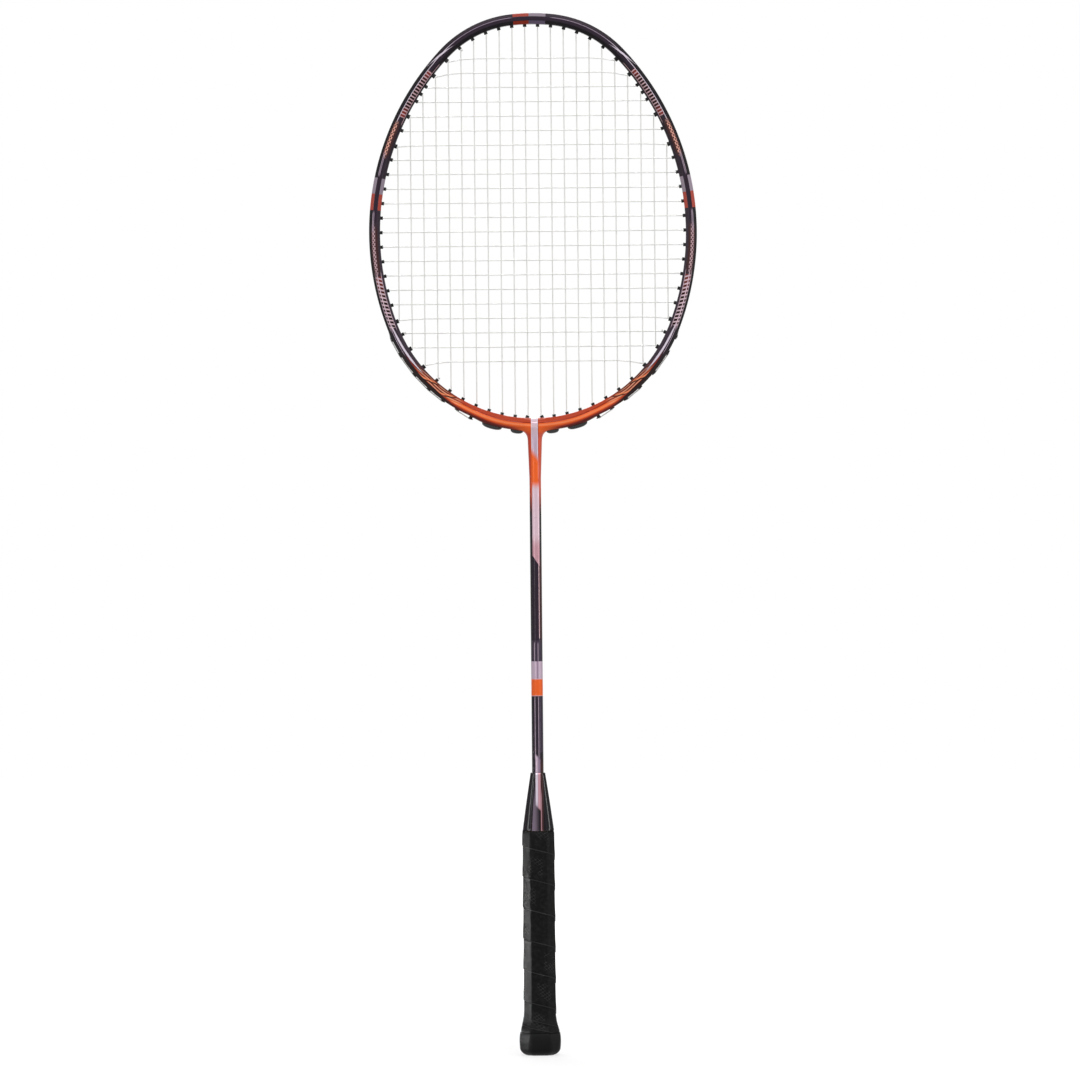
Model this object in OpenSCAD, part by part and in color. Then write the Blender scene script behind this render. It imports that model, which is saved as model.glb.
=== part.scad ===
// Strung badminton racket, standing on its butt with the string bed in the XZ plane.
// The origin is the centre of the butt's end face, the front of the racket faces -Y.

/* [Hoop outline] */
// Overall length, from the butt's end face to the top of the hoop
racket_len = 675; // [660:1:690]
// Mid-line radius of the crown
crown_r = 130; // [115:1:145]
// Half of the angle that the crown spans
crown_a = 5.4; // [4:0.1:7]
// Mid-line radius of the shoulders
shoulder_r = 70; // [64:1:76]
// Angle that a shoulder spans
shoulder_a = 41.5; // [38:0.5:44]
// Mid-line radius of the sides
side_r = 170; // [160:1:180]
// Angle that a side spans
side_a = 64.3; // [60:0.1:68]

/* [Hoop tube] */
// Width of the tube in the plane of the strings
hoop_w = 7.1; // [6.5:0.1:8]
// Depth of the tube across the plane of the strings
hoop_d = 10.5; // [9.5:0.1:12]
// Width of the flat on the front and back of the tube
hoop_flat = 2.8; // [2:0.1:3.4]
// Height of the flat on the inside and outside of the tube
hoop_edge = 5.6; // [5:0.1:6.5]
// Wall of the tube
hoop_wall = 1; // [0.8:0.05:1.2]
// Width of the string groove
groove_w = 4.6; // [4.2:0.1:5]
// Depth of the string groove
groove_depth = 1.8; // [1.6:0.1:2]

/* [Throat] */
// Thickness of the wrap under the hoop
wrap_t = 1.2; // [0.8:0.1:1.6]
// Thickness of the wrap on the front and back of the hoop
wrap_face_t = 0.6; // [0.4:0.1:1]
// Number of main strings, each side of the middle, that pass through the wrap
wrapped_mains = 5; // [4:1:7]
// Length of the tapering neck
neck_len = 28; // [20:1:40]
// Diameter of the neck under the hoop
neck_d = 9.5; // [8.6:0.1:11]
// Radius of the fillet between the neck and the hoop
throat_fillet = 2.5; // [1.5:0.1:3.5]
// Length of each arm of the T-joint
arm_len = 17; // [12:1:20]
// Length of the T-joint's stem below the hoop
stem_len = 34; // [25:1:45]

/* [Shaft] */
// Outer diameter of the shaft
shaft_d = 7.5; // [6.8:0.1:8.2]
// Bore of the shaft
shaft_bore = 4.8; // [4:0.1:5.4]
// Wall left under the neck of the throat wrap
spigot_wall = 0.85; // [0.6:0.05:1]
// Length of the shaft inside the handle
shaft_seat = 85; // [60:1:110]

/* [Handle] */
// Height of the top of the grip above the butt's end face
handle_len = 145.3; // [130:0.1:165]
// Width of the grip across the front
grip_w = 20.8; // [19:0.1:23]
// Depth of the grip from front to back
grip_d = 24.4; // [22:0.1:27]
// Width of the front facet of the grip
grip_facet = 10.7; // [9.5:0.1:12]
// Thickness of the grip strip
grip_t = 1.7; // [1.2:0.1:2.2]
// Rise of the grip strip in one turn
grip_pitch = 19.5; // [17:0.1:22]
// Open seam between two turns of the grip strip
grip_seam = 0.6; // [0.5:0.1:1]
// Bevel on the edges of the grip strip
grip_bevel = 0.5; // [0.2:0.1:0.8]

/* [Butt cap] */
// Height of the part of the butt cap that the grip leaves bare
cap_h = 14.7; // [12.5:0.1:17]
// Thickness of the butt cap's floor
cap_floor = 5; // [4:0.1:7]
// How far the flare stands out at its widest
flare_w = 3; // [2.4:0.1:3.6]
// Height of the widest part of the flare
belly_h = 9.7; // [8:0.1:11]
// Height at which the flare meets the straight handle
flare_h = 27; // [24:0.5:32]
// How far the sides draw in from the belly to the end face
belly_in = 1.1; // [0.6:0.1:1.6]
// Width of the rounding at the end face
butt_round_w = 5.4; // [4:0.1:6.5]
// Height of the rounding at the end face
butt_round_h = 2.8; // [2:0.1:4]
// Thinnest wall of the cap's skirt
skirt_wall = 0.5; // [0.4:0.05:0.8]

/* [Cone cap] */
// Length of the cone cap
cone_len = 37.6; // [30:0.1:45]
// Width of the cone cap's top
cone_top = 9.4; // [8.9:0.1:10.5]
// Wall of the cone cap
cone_wall = 1.4; // [1:0.1:1.8]
// Step from the grip's surface in to the cone cap's base
cone_step = 0.3; // [0.1:0.05:0.6]
// Length of the wooden nose inside the cone cap
nose_len = 22; // [15:0.5:26]

/* [Strings] */
// Diameter of the string
string_d = 0.7; // [0.62:0.01:0.75]
// Distance between main strings
main_pitch = 8.3; // [7.8:0.05:9]
// Distance between cross strings
cross_pitch = 9.35; // [8.8:0.05:10]
// Space left between the outermost main and the hoop
main_edge_gap = 9.5; // [8:0.1:14]
// Space left between the hoop's top and the first cross
cross_top_gap = 20; // [17:0.1:24]
// Space left between the hoop's bottom and the last cross
cross_bottom_gap = 34.5; // [30:0.1:40]
// Stretch next to a shared grommet over which a cross eases into line
cross_ease = 12; // [8:1:16]

/* [Grommets] */
// Outer diameter of a grommet's barrel
grommet_d = 2.4; // [2.2:0.05:2.6]
// Bore of a grommet
grommet_bore = 1.75; // [1.7:0.01:1.8]
// Diameter of a grommet's head
head_d = 3.4; // [3.1:0.05:3.6]
// Outer diameter of a shared grommet's barrel
shared_d = 3; // [2.8:0.05:3.2]
// Bore of a shared grommet
shared_bore = 2.2; // [2:0.05:2.3]
// Diameter of a shared grommet's head
shared_head_d = 3.9; // [3.6:0.05:4]
// Thickness of a grommet's head
head_t = 0.7; // [0.5:0.05:0.8]
// How far a grommet's tip stands out inside the hoop
tip_len = 1.6; // [1.2:0.1:2.2]
// A cross that would pass closer than this to a main's hole shares that hole
share_gap = 4; // [3.8:0.1:4.5]
// Width of a bridge sleeve, front to back
bridge_w = 4.6; // [4:0.1:5.4]
// Wall of a bridge sleeve over its string
bridge_wall = 0.4; // [0.3:0.05:0.6]
// Length of a bridge sleeve past its holes
bridge_end = 1.8; // [1.6:0.05:2.2]
// Diameter of a knot
knot_d = 1.9; // [1.6:0.1:2.2]
// Length of a knot
knot_len = 1.4; // [1:0.1:1.8]

/* [Clearances] */
// Bond line between glued pieces, and play of a grommet in its hole
fit = 0.05; // [0.03:0.01:0.08]
// Play between the grip strip and what it is wound on
grip_fit = 0.1; // [0.05:0.05:0.2]
// More play where the strip is wound on the flare
flare_fit = 0.2; // [0.15:0.05:0.3]
// Play between a string and what it runs over
string_play = 0.2; // [0.15:0.05:0.3]
// Gap between the main and the cross strings
layer_gap = 0.1; // [0.06:0.02:0.16]
// Distance of a string's bend from the grommet's tip
turn_play = 0.4; // [0.3:0.05:0.6]
// Gap between the throat's fillet and the bridge sleeves
bridge_gap = 0.2; // [0.1:0.05:0.5]

/* [Hidden] */

plum = [0.16, 0.12, 0.18];
orange = [0.84, 0.33, 0.12];
black = [0.09, 0.09, 0.09];
white = [0.93, 0.93, 0.91];
resin = [0.35, 0.33, 0.3];
timber = [0.72, 0.55, 0.36];
small_fn = 32;
arc_fn = 240;
past = 1;
// Two arcs of the hoop join with a lap and a step too fine to see
seam_lap = 0.5;
seam_step = 0.02;

// The hoop's mid-line: four arcs down each side. A heading is the outward direction, 0 at the top
// and 180 at the throat, and a place on the hoop is a heading and a side, 1 right or -1 left.
function toward(h) = [sin(h), cos(h)];
arc_h = [0, crown_a, crown_a + shoulder_a, crown_a + shoulder_a + side_a, 180];
crown_c = [0, racket_len - hoop_w / 2 - crown_r];
shoulder_c = crown_c + (crown_r - shoulder_r) * toward(arc_h[1]);
side_c = shoulder_c + (shoulder_r - side_r) * toward(arc_h[2]);
base_r = (side_c[0] + side_r * sin(arc_h[3])) / sin(arc_h[3]);
base_c = [0, side_c[1] + (side_r - base_r) * cos(arc_h[3])];
arc_r = [crown_r, shoulder_r, side_r, base_r];
arc_c = [crown_c, shoulder_c, side_c, base_c];
function arc_of(h) = h < arc_h[1] ? 0 : h < arc_h[2] ? 1 : h < arc_h[3] ? 2 : 3;
function hoop_pt(h, off) = arc_c[arc_of(h)] + (arc_r[arc_of(h)] + off) * toward(h);
function placed(side, p) = [side * p[0], p[1]];
function travel(h, k = 0) = k > 3 ? 0
    : arc_r[k] * max(0, min(h, arc_h[k + 1]) - arc_h[k]) * PI / 180 + travel(h, k + 1);
hoop_bottom = base_c[1] - base_r - hoop_w / 2;

// Headings at which a string that stands x from the middle, or z high, bends into its grommet
turn_off = hoop_w / 2 + tip_len + turn_play;
function in_arc(h, k) = h >= arc_h[k] && h <= arc_h[k + 1];
function x_angle(x, k) = asin(min(1, (x - arc_c[k][0]) / (arc_r[k] - turn_off)));
function z_angle(z, k) = acos(max(-1, min(1, (z - arc_c[k][1]) / (arc_r[k] - turn_off))));
function upper_h(x) = [for (k = [0:3]) if (in_arc(x_angle(x, k), k)) x_angle(x, k)][0];
function lower_h(x) = [for (k = [0:3]) if (in_arc(180 - x_angle(x, k), k)) 180 - x_angle(x, k)][0];
function level_h(z) = [for (k = [0:3]) if (in_arc(z_angle(z, k), k)) z_angle(z, k)][0];

// Mains are numbered from the middle outwards, crosses from the top down
main_n = floor((hoop_pt(90, -turn_off)[0] - main_edge_gap) / main_pitch + 0.5);
function main_x(n) = (n - 0.5) * main_pitch;
main_top_h = [for (n = [1:main_n]) upper_h(main_x(n))];
main_low_h = [for (n = [1:main_n]) lower_h(main_x(n))];
main_h = concat(main_top_h, main_low_h);
cross_first = hoop_pt(0, -turn_off)[1] - cross_top_gap;
cross_n = floor((cross_first - hoop_pt(180, -turn_off)[1] - cross_bottom_gap) / cross_pitch) + 1;
function cross_z(j) = cross_first - j * cross_pitch;
function near(list, h, reach) = [for (m = list) if (abs(travel(m) - travel(h)) < reach) m];
cross_own_h = [for (j = [0:cross_n - 1]) level_h(cross_z(j))];
cross_h = [for (h = cross_own_h) concat(near(main_h, h, share_gap), [h])[0]];
lone_cross_h = [for (h = cross_h) if (len(near(main_h, h, 0.01)) == 0) h];
shared_h = [for (h = main_h) if (len(near(cross_h, h, 0.01)) > 0) h];
lone_main_h = [for (h = main_h) if (len(near(cross_h, h, 0.01)) == 0) h];
hole_h = concat(main_h, lone_cross_h);

// The groove ends between two holes near the foot of the sides, the wrap between two mains
groove_h = (max([for (h = hole_h) if (h < arc_h[3]) h]) + min([for (h = hole_h) if (h >= arc_h[3]) h])) / 2;
wrap_h = (main_low_h[wrapped_mains - 1] + main_low_h[wrapped_mains]) / 2;
function seat_off(h) = h < groove_h ? hoop_w / 2 - groove_depth
    : h > wrap_h ? hoop_w / 2 + wrap_t
    : hoop_w / 2;

// A hole runs from its string's bend to its seat on the outside. The first mains lean out, past the neck.
loop_off = head_t + string_d / 2 + string_play;
tunnel_d = string_d + 2 * string_play;
bridge_t = loop_off + tunnel_d / 2 + bridge_wall;
lean_x = neck_d / 2 + throat_fillet + bridge_gap + bridge_end;
function out_h(h) = h == main_low_h[0] ? 180 - asin(lean_x / (base_r + seat_off(h))) : h;
function bend_pt(h) = hoop_pt(h, -turn_off);
function seat_pt(h) = hoop_pt(out_h(h), seat_off(h));
function hole_len(h) = norm(seat_pt(h) - bend_pt(h));
function hole_dir(h) = (seat_pt(h) - bend_pt(h)) / hole_len(h);
function hole_lean(h) = atan2(hole_dir(h)[0], hole_dir(h)[1]);
function exit_pt(h, off) = seat_pt(h) + (off - seat_off(h)) * hole_dir(h);

// Places along the length
saddle_z = hoop_bottom - wrap_t;
neck_top = saddle_z - throat_fillet;
neck_z = neck_top - neck_len;
shaft_top = hoop_bottom - fit;
shaft_foot = handle_len - shaft_seat;
spigot_d = shaft_bore + 2 * spigot_wall;

// Eight-sided outlines of the handle, at an inset from the grip's surface
bevel_k = grip_d / 2 + grip_facet / 2;
function octagon(a, b, k) = [
    [k - b, -b], [a, a - k], [a, k - a], [k - b, b], [b - k, b], [-a, k - a], [-a, a - k], [b - k, -b]
];
function handle_oct(inset) = octagon(grip_w / 2 - inset, grip_d / 2 - inset, bevel_k - inset * sqrt(2));
function lifted(outline, z) = [for (p = outline) [p[0], p[1], z]];
core_inset = grip_t + grip_fit;

// How far the handle's surface stands out at a height: the flare of the butt
function flare(z) = z >= flare_h ? 0
    : z >= belly_h ? flare_w * (1 - cos(180 * (flare_h - z) / (flare_h - belly_h))) / 2
    : flare_w - belly_in * pow((belly_h - z) / belly_h, 2);
skirt_inset = core_inset + flare_fit;
skirt_rise = skirt_wall + skirt_inset - core_inset + fit;
skirt_top = flare_h - (flare_h - belly_h) * acos(1 - 2 * skirt_rise / flare_w) / 180;

// A closed solid through rings of points, all with the same even count
module skin(rings) {
    n = len(rings[0]);
    last = len(rings) - 1;
    sides = [for (i = [0:last - 1]) for (j = [0:n - 1]) let (a = i * n + j, b = i * n + (j + 1) % n)
        each [[a, a + n, b], [b, a + n, b + n]]];
    caps = [for (j = [0:n / 2 - 2]) let (p = j, q = j + 1, r = n - 2 - j, s = n - 1 - j, e = last * n)
        each [[p, q, r], [p, r, s], [e + p, e + r, e + q], [e + p, e + s, e + r]]];
    polyhedron(points = [for (ring = rings) each ring], faces = concat(sides, caps));
}

// A tube along a flat path of [x, z] points, mitred at the bends
function across(a, b) = [b[1] - a[1], a[0] - b[0]] / norm(b - a);
function mitre(path, i) = let (
    u = across(path[max(i - 1, 0)], path[max(i, 1)]),
    v = across(path[min(i, len(path) - 2)], path[min(i + 1, len(path) - 1)])
) (u + v) / (1 + u * v);
module string_tube(path, y) {
    sides = 6;
    skin([for (i = [0:len(path) - 1]) let (m = mitre(path, i)) [for (j = [0:sides - 1])
        let (w = cos(j * 360 / sides) * string_d / 2)
        [path[i][0] + m[0] * w, y + sin(j * 360 / sides) * string_d / 2, path[i][1] + m[1] * w]]]);
}

// Least gap of a string to itself, from its points to the stretches well along from them
function span_gap(p, a, b) = let (
    along = (p - a) * (b - a) / ((b - a) * (b - a)),
    t = max(0, min(1, along))
) norm(p - a - t * (b - a));
function self_gap(path, skip) = min([for (i = [0:len(path) - 1]) for (j = [i + skip:1:len(path) - 2])
    span_gap(path[i], path[j], path[j + 1])]) - string_d;

// The string on the outside of the hoop, from one hole to the next
loop_steps = 4;
function signed_pt(h, off) = placed(h < 0 ? -1 : 1, hoop_pt(abs(h), off));
function loop_path(side_a, h_a, side_b, h_b) = let (
    off = max(seat_off(h_a), seat_off(h_b)) + loop_off,
    a = side_a * out_h(h_a),
    b = side_b * out_h(h_b)
) concat(
    [placed(side_a, exit_pt(h_a, off))],
    [for (i = [1:loop_steps - 1]) signed_pt(a + (b - a) * i / loop_steps, off)],
    [placed(side_b, exit_pt(h_b, off))]
);

// The tail of a string leaves by its last hole and comes back in by the nearest hole of the other string
function closest(list, h) = let (gaps = [for (m = list) abs(travel(m) - travel(h))])
    list[search(min(gaps), gaps)[0]];
function tail_path(side, h, anchor) = concat(
    loop_path(side, h, side, anchor),
    [placed(side, bend_pt(anchor))]
);
function reversed(list) = [for (i = [len(list) - 1:-1:0]) list[i]];

// Main string: runs from left to right, with the middle pair joined at the top
main_runs = 2 * main_n;
function run_side(i) = i < main_n ? -1 : 1;
function run_number(i) = i < main_n ? main_n - i : i - main_n + 1;
function joined_at_top(i) = (i + main_n) % 2 == 1;
function main_end(i, top) = (top ? main_top_h : main_low_h)[run_number(i) - 1];
function main_run(i) = let (top = joined_at_top(i)) [
    placed(run_side(i), bend_pt(main_end(i, !top))),
    placed(run_side(i), bend_pt(main_end(i, top)))
];
function main_loop(i) = loop_path(
    run_side(i), main_end(i, joined_at_top(i)),
    run_side(i + 1), main_end(i + 1, joined_at_top(i))
);
main_tail_h = main_end(0, !joined_at_top(0));
main_anchor_h = closest(lone_cross_h, main_tail_h);
main_path = concat(
    reversed(tail_path(-1, main_tail_h, main_anchor_h)),
    [for (i = [0:main_runs - 1]) each concat(main_run(i), i < main_runs - 1 ? main_loop(i) : [])],
    tail_path(1, main_tail_h, main_anchor_h)
);

// Cross string: runs from the top down, the first one from left to right
function run_way(j) = j % 2 == 0 ? 1 : -1;
function eased(h, j) = [bend_pt(h)[0] - cross_ease, cross_z(j)];
function cross_run(j) = [
    placed(-run_way(j), bend_pt(cross_h[j])),
    placed(-run_way(j), eased(cross_h[j], j)),
    placed(run_way(j), eased(cross_h[j], j)),
    placed(run_way(j), bend_pt(cross_h[j]))
];
function cross_loop(j) = loop_path(run_way(j), cross_h[j], run_way(j), cross_h[j + 1]);
last_cross = cross_n - 1;
first_anchor_h = closest(lone_main_h, cross_h[0]);
last_anchor_h = closest(lone_main_h, cross_h[last_cross]);
cross_path = concat(
    reversed(tail_path(-1, cross_h[0], first_anchor_h)),
    [for (j = [0:last_cross]) each concat(cross_run(j), j < last_cross ? cross_loop(j) : [])],
    tail_path(run_way(last_cross), cross_h[last_cross], last_anchor_h)
);

layer_y = (string_d + layer_gap) / 2;
main_y = -layer_y;
cross_y = layer_y;
gap_skip = loop_steps + 2;
echo(main_string_gap = self_gap(main_path, gap_skip), cross_string_gap = self_gap(cross_path, gap_skip));

// Sections of the hoop, as [outward, front to back]
function tube_section(grow) = let (
    w = hoop_w / 2 + grow, d = hoop_d / 2 + grow, f = hoop_flat / 2 + grow / 2, e = hoop_edge / 2 + grow / 2
) [[-f, -d], [f, -d], [w, -e], [w, e], [f, d], [-f, d], [-w, e], [-w, -e]];
function cavity_section(inset) = let (
    inner = hoop_wall + inset - hoop_w / 2,
    outer = hoop_w / 2 - groove_depth - hoop_wall - inset,
    d = hoop_d / 2 - hoop_wall - inset,
    e = hoop_edge / 2 - hoop_wall / 2 - inset
) [[-hoop_flat / 2, -d], [outer, -d], [outer, d], [-hoop_flat / 2, d], [inner, e], [inner, -e]];
function wrap_section() = let (
    w = hoop_w / 2 + wrap_t, d = hoop_d / 2 + wrap_face_t, f = hoop_flat / 2, e = hoop_edge / 2
) [[-f, -d], [f, -d], [w, -e], [w, e], [f, d], [-f, d]];

// A section carried round part of one arc, from heading h_a to h_b
module swept(k, side, h_a, h_b) {
    translate([side * arc_c[k][0], 0, arc_c[k][1]])
        rotate([90, 0, 0])
            rotate_extrude(angle = h_b - h_a, start = side > 0 ? 90 - h_b : 90 + h_a, $fn = arc_fn)
                translate([arc_r[k], 0])
                    children();
}

// The whole round, to heading h_end. The shoulders and the base take the second child and lap into the rest.
function lap_a(k) = seam_lap / arc_r[k] * 180 / PI;
module round_hoop(h_end = 180) {
    swept(0, 1, -arc_h[1], arc_h[1]) children(0);
    for (side = [-1, 1]) {
        swept(1, side, arc_h[1] - lap_a(1), arc_h[2] + lap_a(1)) children(1);
        swept(2, side, arc_h[2], min(arc_h[3], h_end)) children(0);
        if (h_end > arc_h[3])
            swept(3, side, arc_h[3] - lap_a(3), h_end) children(1);
    }
}

module under_hoop(h_from) {
    swept(3, 1, h_from, 360 - h_from) children();
}

// A child drawn along +Z, set on a hole with its origin on the seat
module on_seat(side, h) {
    translate([side * seat_pt(h)[0], 0, seat_pt(h)[1]])
        rotate([0, side * hole_lean(h), 0])
            children();
}

function is_shared(h) = len(near(shared_h, h, 0.01)) > 0;
function hole_d(h) = is_shared(h) ? shared_d : grommet_d;

module string_holes(headings) {
    for (side = [-1, 1])
        for (h = headings)
            on_seat(side, h)
                translate([0, 0, -hole_len(h)])
                    cylinder(d = hole_d(h) + 2 * fit, h = hole_len(h) + bridge_t, $fn = small_fn);
}

module grommet(side, h) {
    barrel = hole_d(h) / 2;
    bore = (is_shared(h) ? shared_bore : grommet_bore) / 2;
    head = (is_shared(h) ? shared_head_d : head_d) / 2;
    tip = turn_play - hole_len(h);
    on_seat(side, h)
        rotate_extrude($fn = small_fn)
            polygon([
                [bore, tip], [barrel, tip], [barrel, fit],
                [head, fit], [head, fit + head_t], [bore, fit + head_t]
            ]);
}

module grommet_row(sides, headings) {
    color(black)
        for (side = sides)
            for (h = headings)
                grommet(side, h);
}

// Two-hole sleeve over the string between a pair of mains under the throat
module bridge(side, number) {
    h_in = main_low_h[number - 1];
    h_out = main_low_h[number];
    end_a = bridge_end / base_r * 180 / PI;
    seat = seat_off(h_in);
    tunnel_top = loop_off + tunnel_d / 2;
    color(black)
        difference() {
            union() {
                swept(3, side, out_h(h_out) - end_a, out_h(h_in) + end_a)
                    polygon([
                        [seat + fit, -bridge_w / 2],
                        [seat + loop_off, -bridge_w / 2],
                        [seat + bridge_t, -bridge_w / 4],
                        [seat + bridge_t, bridge_w / 4],
                        [seat + loop_off, bridge_w / 2],
                        [seat + fit, bridge_w / 2]
                    ]);
                for (h = [h_in, h_out])
                    on_seat(side, h)
                        translate([0, 0, turn_play - hole_len(h)])
                            cylinder(d = grommet_d, h = hole_len(h) - turn_play + loop_off, $fn = small_fn);
            }
            for (h = [h_in, h_out])
                on_seat(side, h)
                    translate([0, 0, -hole_len(h)])
                        cylinder(d = grommet_bore, h = hole_len(h) + tunnel_top, $fn = small_fn);
            swept(3, side, out_h(h_out), out_h(h_in))
                translate([seat + loop_off, -main_y])
                    circle(d = tunnel_d, $fn = small_fn);
        }
}

module knot(side, h, y) {
    lump = (y < 0 ? -1 : 1) * (knot_d / 2 - string_d / 2);
    on_seat(side, h)
        translate([0, y, -hole_len(h)])
            difference() {
                translate([0, lump, turn_play - fit - knot_len])
                    cylinder(d = knot_d, h = knot_len, $fn = small_fn);
                translate([0, 0, -knot_len])
                    cylinder(d = string_d + 2 * fit, h = knot_len + turn_play, $fn = small_fn);
            }
}

module hollow_section(grow) {
    polygon(concat(tube_section(grow), cavity_section(grow)), [[for (i = [0:7]) i], [for (i = [8:13]) i]]);
}

module groove_section(grow) {
    translate([hoop_w / 2 - groove_depth - grow, -groove_w / 2 - grow])
        square([groove_depth + past + grow, groove_w + 2 * grow]);
}

module head_hoop() {
    color(plum)
        difference() {
            round_hoop() {
                hollow_section(0);
                hollow_section(-seam_step);
            }
            round_hoop(groove_h) {
                groove_section(0);
                groove_section(seam_step);
            }
            string_holes(hole_h);
            translate([0, 0, hoop_bottom - past])
                cylinder(d = shaft_bore, h = hoop_w / 2 + past, $fn = small_fn);
        }
}

module throat_wrap() {
    flare_r = neck_d / 2 + throat_fillet;
    flare_d = hoop_d + 2 * wrap_face_t;
    color(orange)
        difference() {
            union() {
                under_hoop(wrap_h)
                    polygon(wrap_section());
                translate([0, 0, neck_z + fit])
                    cylinder(d1 = shaft_d, d2 = neck_d, h = neck_len - fit, $fn = arc_fn);
                intersection() {
                    difference() {
                        translate([0, 0, neck_top])
                            cylinder(r = flare_r, h = throat_fillet + wrap_t, $fn = arc_fn);
                        translate([0, 0, neck_top])
                            rotate_extrude($fn = arc_fn)
                                translate([flare_r, 0])
                                    circle(r = throat_fillet, $fn = small_fn);
                    }
                    translate([-flare_r, -flare_d / 2, neck_top - past])
                        cube([2 * flare_r, flare_d, 2 * past + throat_fillet + wrap_t]);
                }
            }
            under_hoop(wrap_h - past)
                polygon(tube_section(fit));
            translate([0, 0, neck_z - past])
                cylinder(d = spigot_d + 2 * fit, h = hoop_bottom - neck_z + 2 * past, $fn = small_fn);
            string_holes([for (n = [0:wrapped_mains - 1]) main_low_h[n]]);
        }
}

module t_joint() {
    arm_a = arm_len / base_r * 180 / PI;
    color(resin)
        difference() {
            union() {
                under_hoop(180 - arm_a)
                    polygon(cavity_section(fit));
                translate([0, 0, hoop_bottom - stem_len])
                    cylinder(d = shaft_bore - 2 * fit, h = stem_len + hoop_w / 2, $fn = small_fn);
            }
            string_holes([for (h = main_low_h) if (h > 180 - 2 * arm_a) h]);
        }
}

module shaft() {
    color(plum)
        difference() {
            union() {
                translate([0, 0, shaft_foot + fit])
                    cylinder(d = shaft_d, h = neck_z - shaft_foot - fit, $fn = small_fn);
                translate([0, 0, shaft_foot + fit])
                    cylinder(d = spigot_d, h = shaft_top - shaft_foot - fit, $fn = small_fn);
            }
            translate([0, 0, shaft_foot])
                cylinder(d = shaft_bore, h = shaft_top - shaft_foot + past, $fn = small_fn);
        }
}

// Outline of the cone cap's outside, from its base at 0 to its top at 1, at an inset
function cone_oct(t, inset) = let (
    from = [grip_w / 2 - cone_step, grip_d / 2 - cone_step, bevel_k - cone_step * sqrt(2)],
    to = [cone_top / 2, cone_top / 2, cone_top / 2 * sqrt(2)],
    size = from + (to - from) * t - inset * [1, 1, sqrt(2)]
) octagon(size[0], size[1], size[2]);

module cone_cap() {
    color(plum)
        difference() {
            skin([for (t = [0, 1]) lifted(cone_oct(t, 0), handle_len + fit + t * (cone_len - fit))]);
            skin([
                lifted(cone_oct(0, cone_wall), handle_len - past),
                lifted(cone_oct(0, cone_wall), handle_len),
                lifted(cone_oct(nose_len / cone_len, cone_wall), handle_len + nose_len + 2 * fit)
            ]);
            translate([0, 0, handle_len])
                cylinder(d = shaft_d + 2 * fit, h = cone_len + past, $fn = small_fn);
        }
}

module handle_core() {
    nose_inset = cone_wall + 2 * fit;
    color(timber)
        difference() {
            union() {
                translate([0, 0, cap_floor + fit])
                    linear_extrude(handle_len - cap_floor - fit)
                        polygon(handle_oct(core_inset));
                skin([
                    lifted(cone_oct(0, nose_inset), handle_len),
                    lifted(cone_oct(nose_len / cone_len, nose_inset), handle_len + nose_len)
                ]);
            }
            translate([0, 0, shaft_foot])
                cylinder(d = shaft_d + 2 * fit, h = shaft_seat + nose_len + past, $fn = small_fn);
        }
}

module butt_cap() {
    round_steps = 4;
    belly_steps = 5;
    skirt_steps = 4;
    rounding = [for (i = [0:round_steps - 1])
        let (a = 90 * i / round_steps, z = butt_round_h * (1 - cos(a)))
        lifted(handle_oct(butt_round_w * (1 - sin(a)) - flare(butt_round_h)), z)];
    belly = [for (i = [0:belly_steps]) let (z = butt_round_h + (cap_h - butt_round_h) * i / belly_steps)
        lifted(handle_oct(-flare(z)), z)];
    skirt = [for (i = [0:skirt_steps]) let (z = cap_h + (skirt_top - cap_h) * i / skirt_steps)
        lifted(handle_oct(skirt_inset - flare(z)), z)];
    color(black)
        difference() {
            skin(concat(rounding, belly, skirt));
            translate([0, 0, cap_floor])
                linear_extrude(flare_h)
                    polygon(handle_oct(core_inset - fit));
        }
}

// The grip strip: one unbroken winding up the handle, trimmed level at the cap and at the cone
corner_steps = 3;
turn_steps = 8 * corner_steps;
strip_levels = 4;
grip_foot = cap_h + grip_fit;
grip_head = handle_len - grip_fit;
strip_w = grip_pitch - grip_seam;
strip_tail = 2 * grip_bevel + grip_seam;
strip_start = ceil(turn_steps * strip_tail / grip_pitch);
strip_end = floor(turn_steps * (grip_head - grip_foot + strip_w - strip_tail) / grip_pitch);
function strip_top(i) = min(grip_head, grip_foot + grip_pitch * i / turn_steps);
function strip_foot(i) = max(grip_foot, grip_foot + grip_pitch * i / turn_steps - strip_w);
function around(i, inset) = let (
    outline = handle_oct(inset),
    turn = (turn_steps * ceil(strip_end / turn_steps) - i) / corner_steps,
    corner = floor(turn)
) outline[corner % 8] + (outline[(corner + 1) % 8] - outline[corner % 8]) * (turn - corner);
function strip_pt(i, z, inset) = let (p = around(i, inset - flare(z))) [p[0], p[1], z];
function strip_z(i, level, trim) = let (lo = strip_foot(i) + trim, hi = strip_top(i) - trim)
    lo + (hi - lo) * level / strip_levels;
strip_gap = min([for (i = [strip_start:strip_end - turn_steps]) strip_foot(i + turn_steps) - strip_top(i)]);
echo(grip_turns = (strip_end - strip_start) / turn_steps, grip_strip_gap = strip_gap);

module grip_wrap() {
    color(black)
        skin([for (i = [strip_start:strip_end]) concat(
            [for (level = [0:strip_levels]) strip_pt(i, strip_z(i, level, grip_bevel / 2), 0)],
            [for (level = [strip_levels:-1:0]) strip_pt(i, strip_z(i, level, 0), grip_t)]
        )]);
}

module main_string() {
    color(white) string_tube(main_path, main_y);
}

module cross_string() {
    color(white) string_tube(cross_path, cross_y);
}

module main_knots() {
    color(white)
        for (side = [-1, 1])
            knot(side, main_anchor_h, main_y);
}

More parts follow.
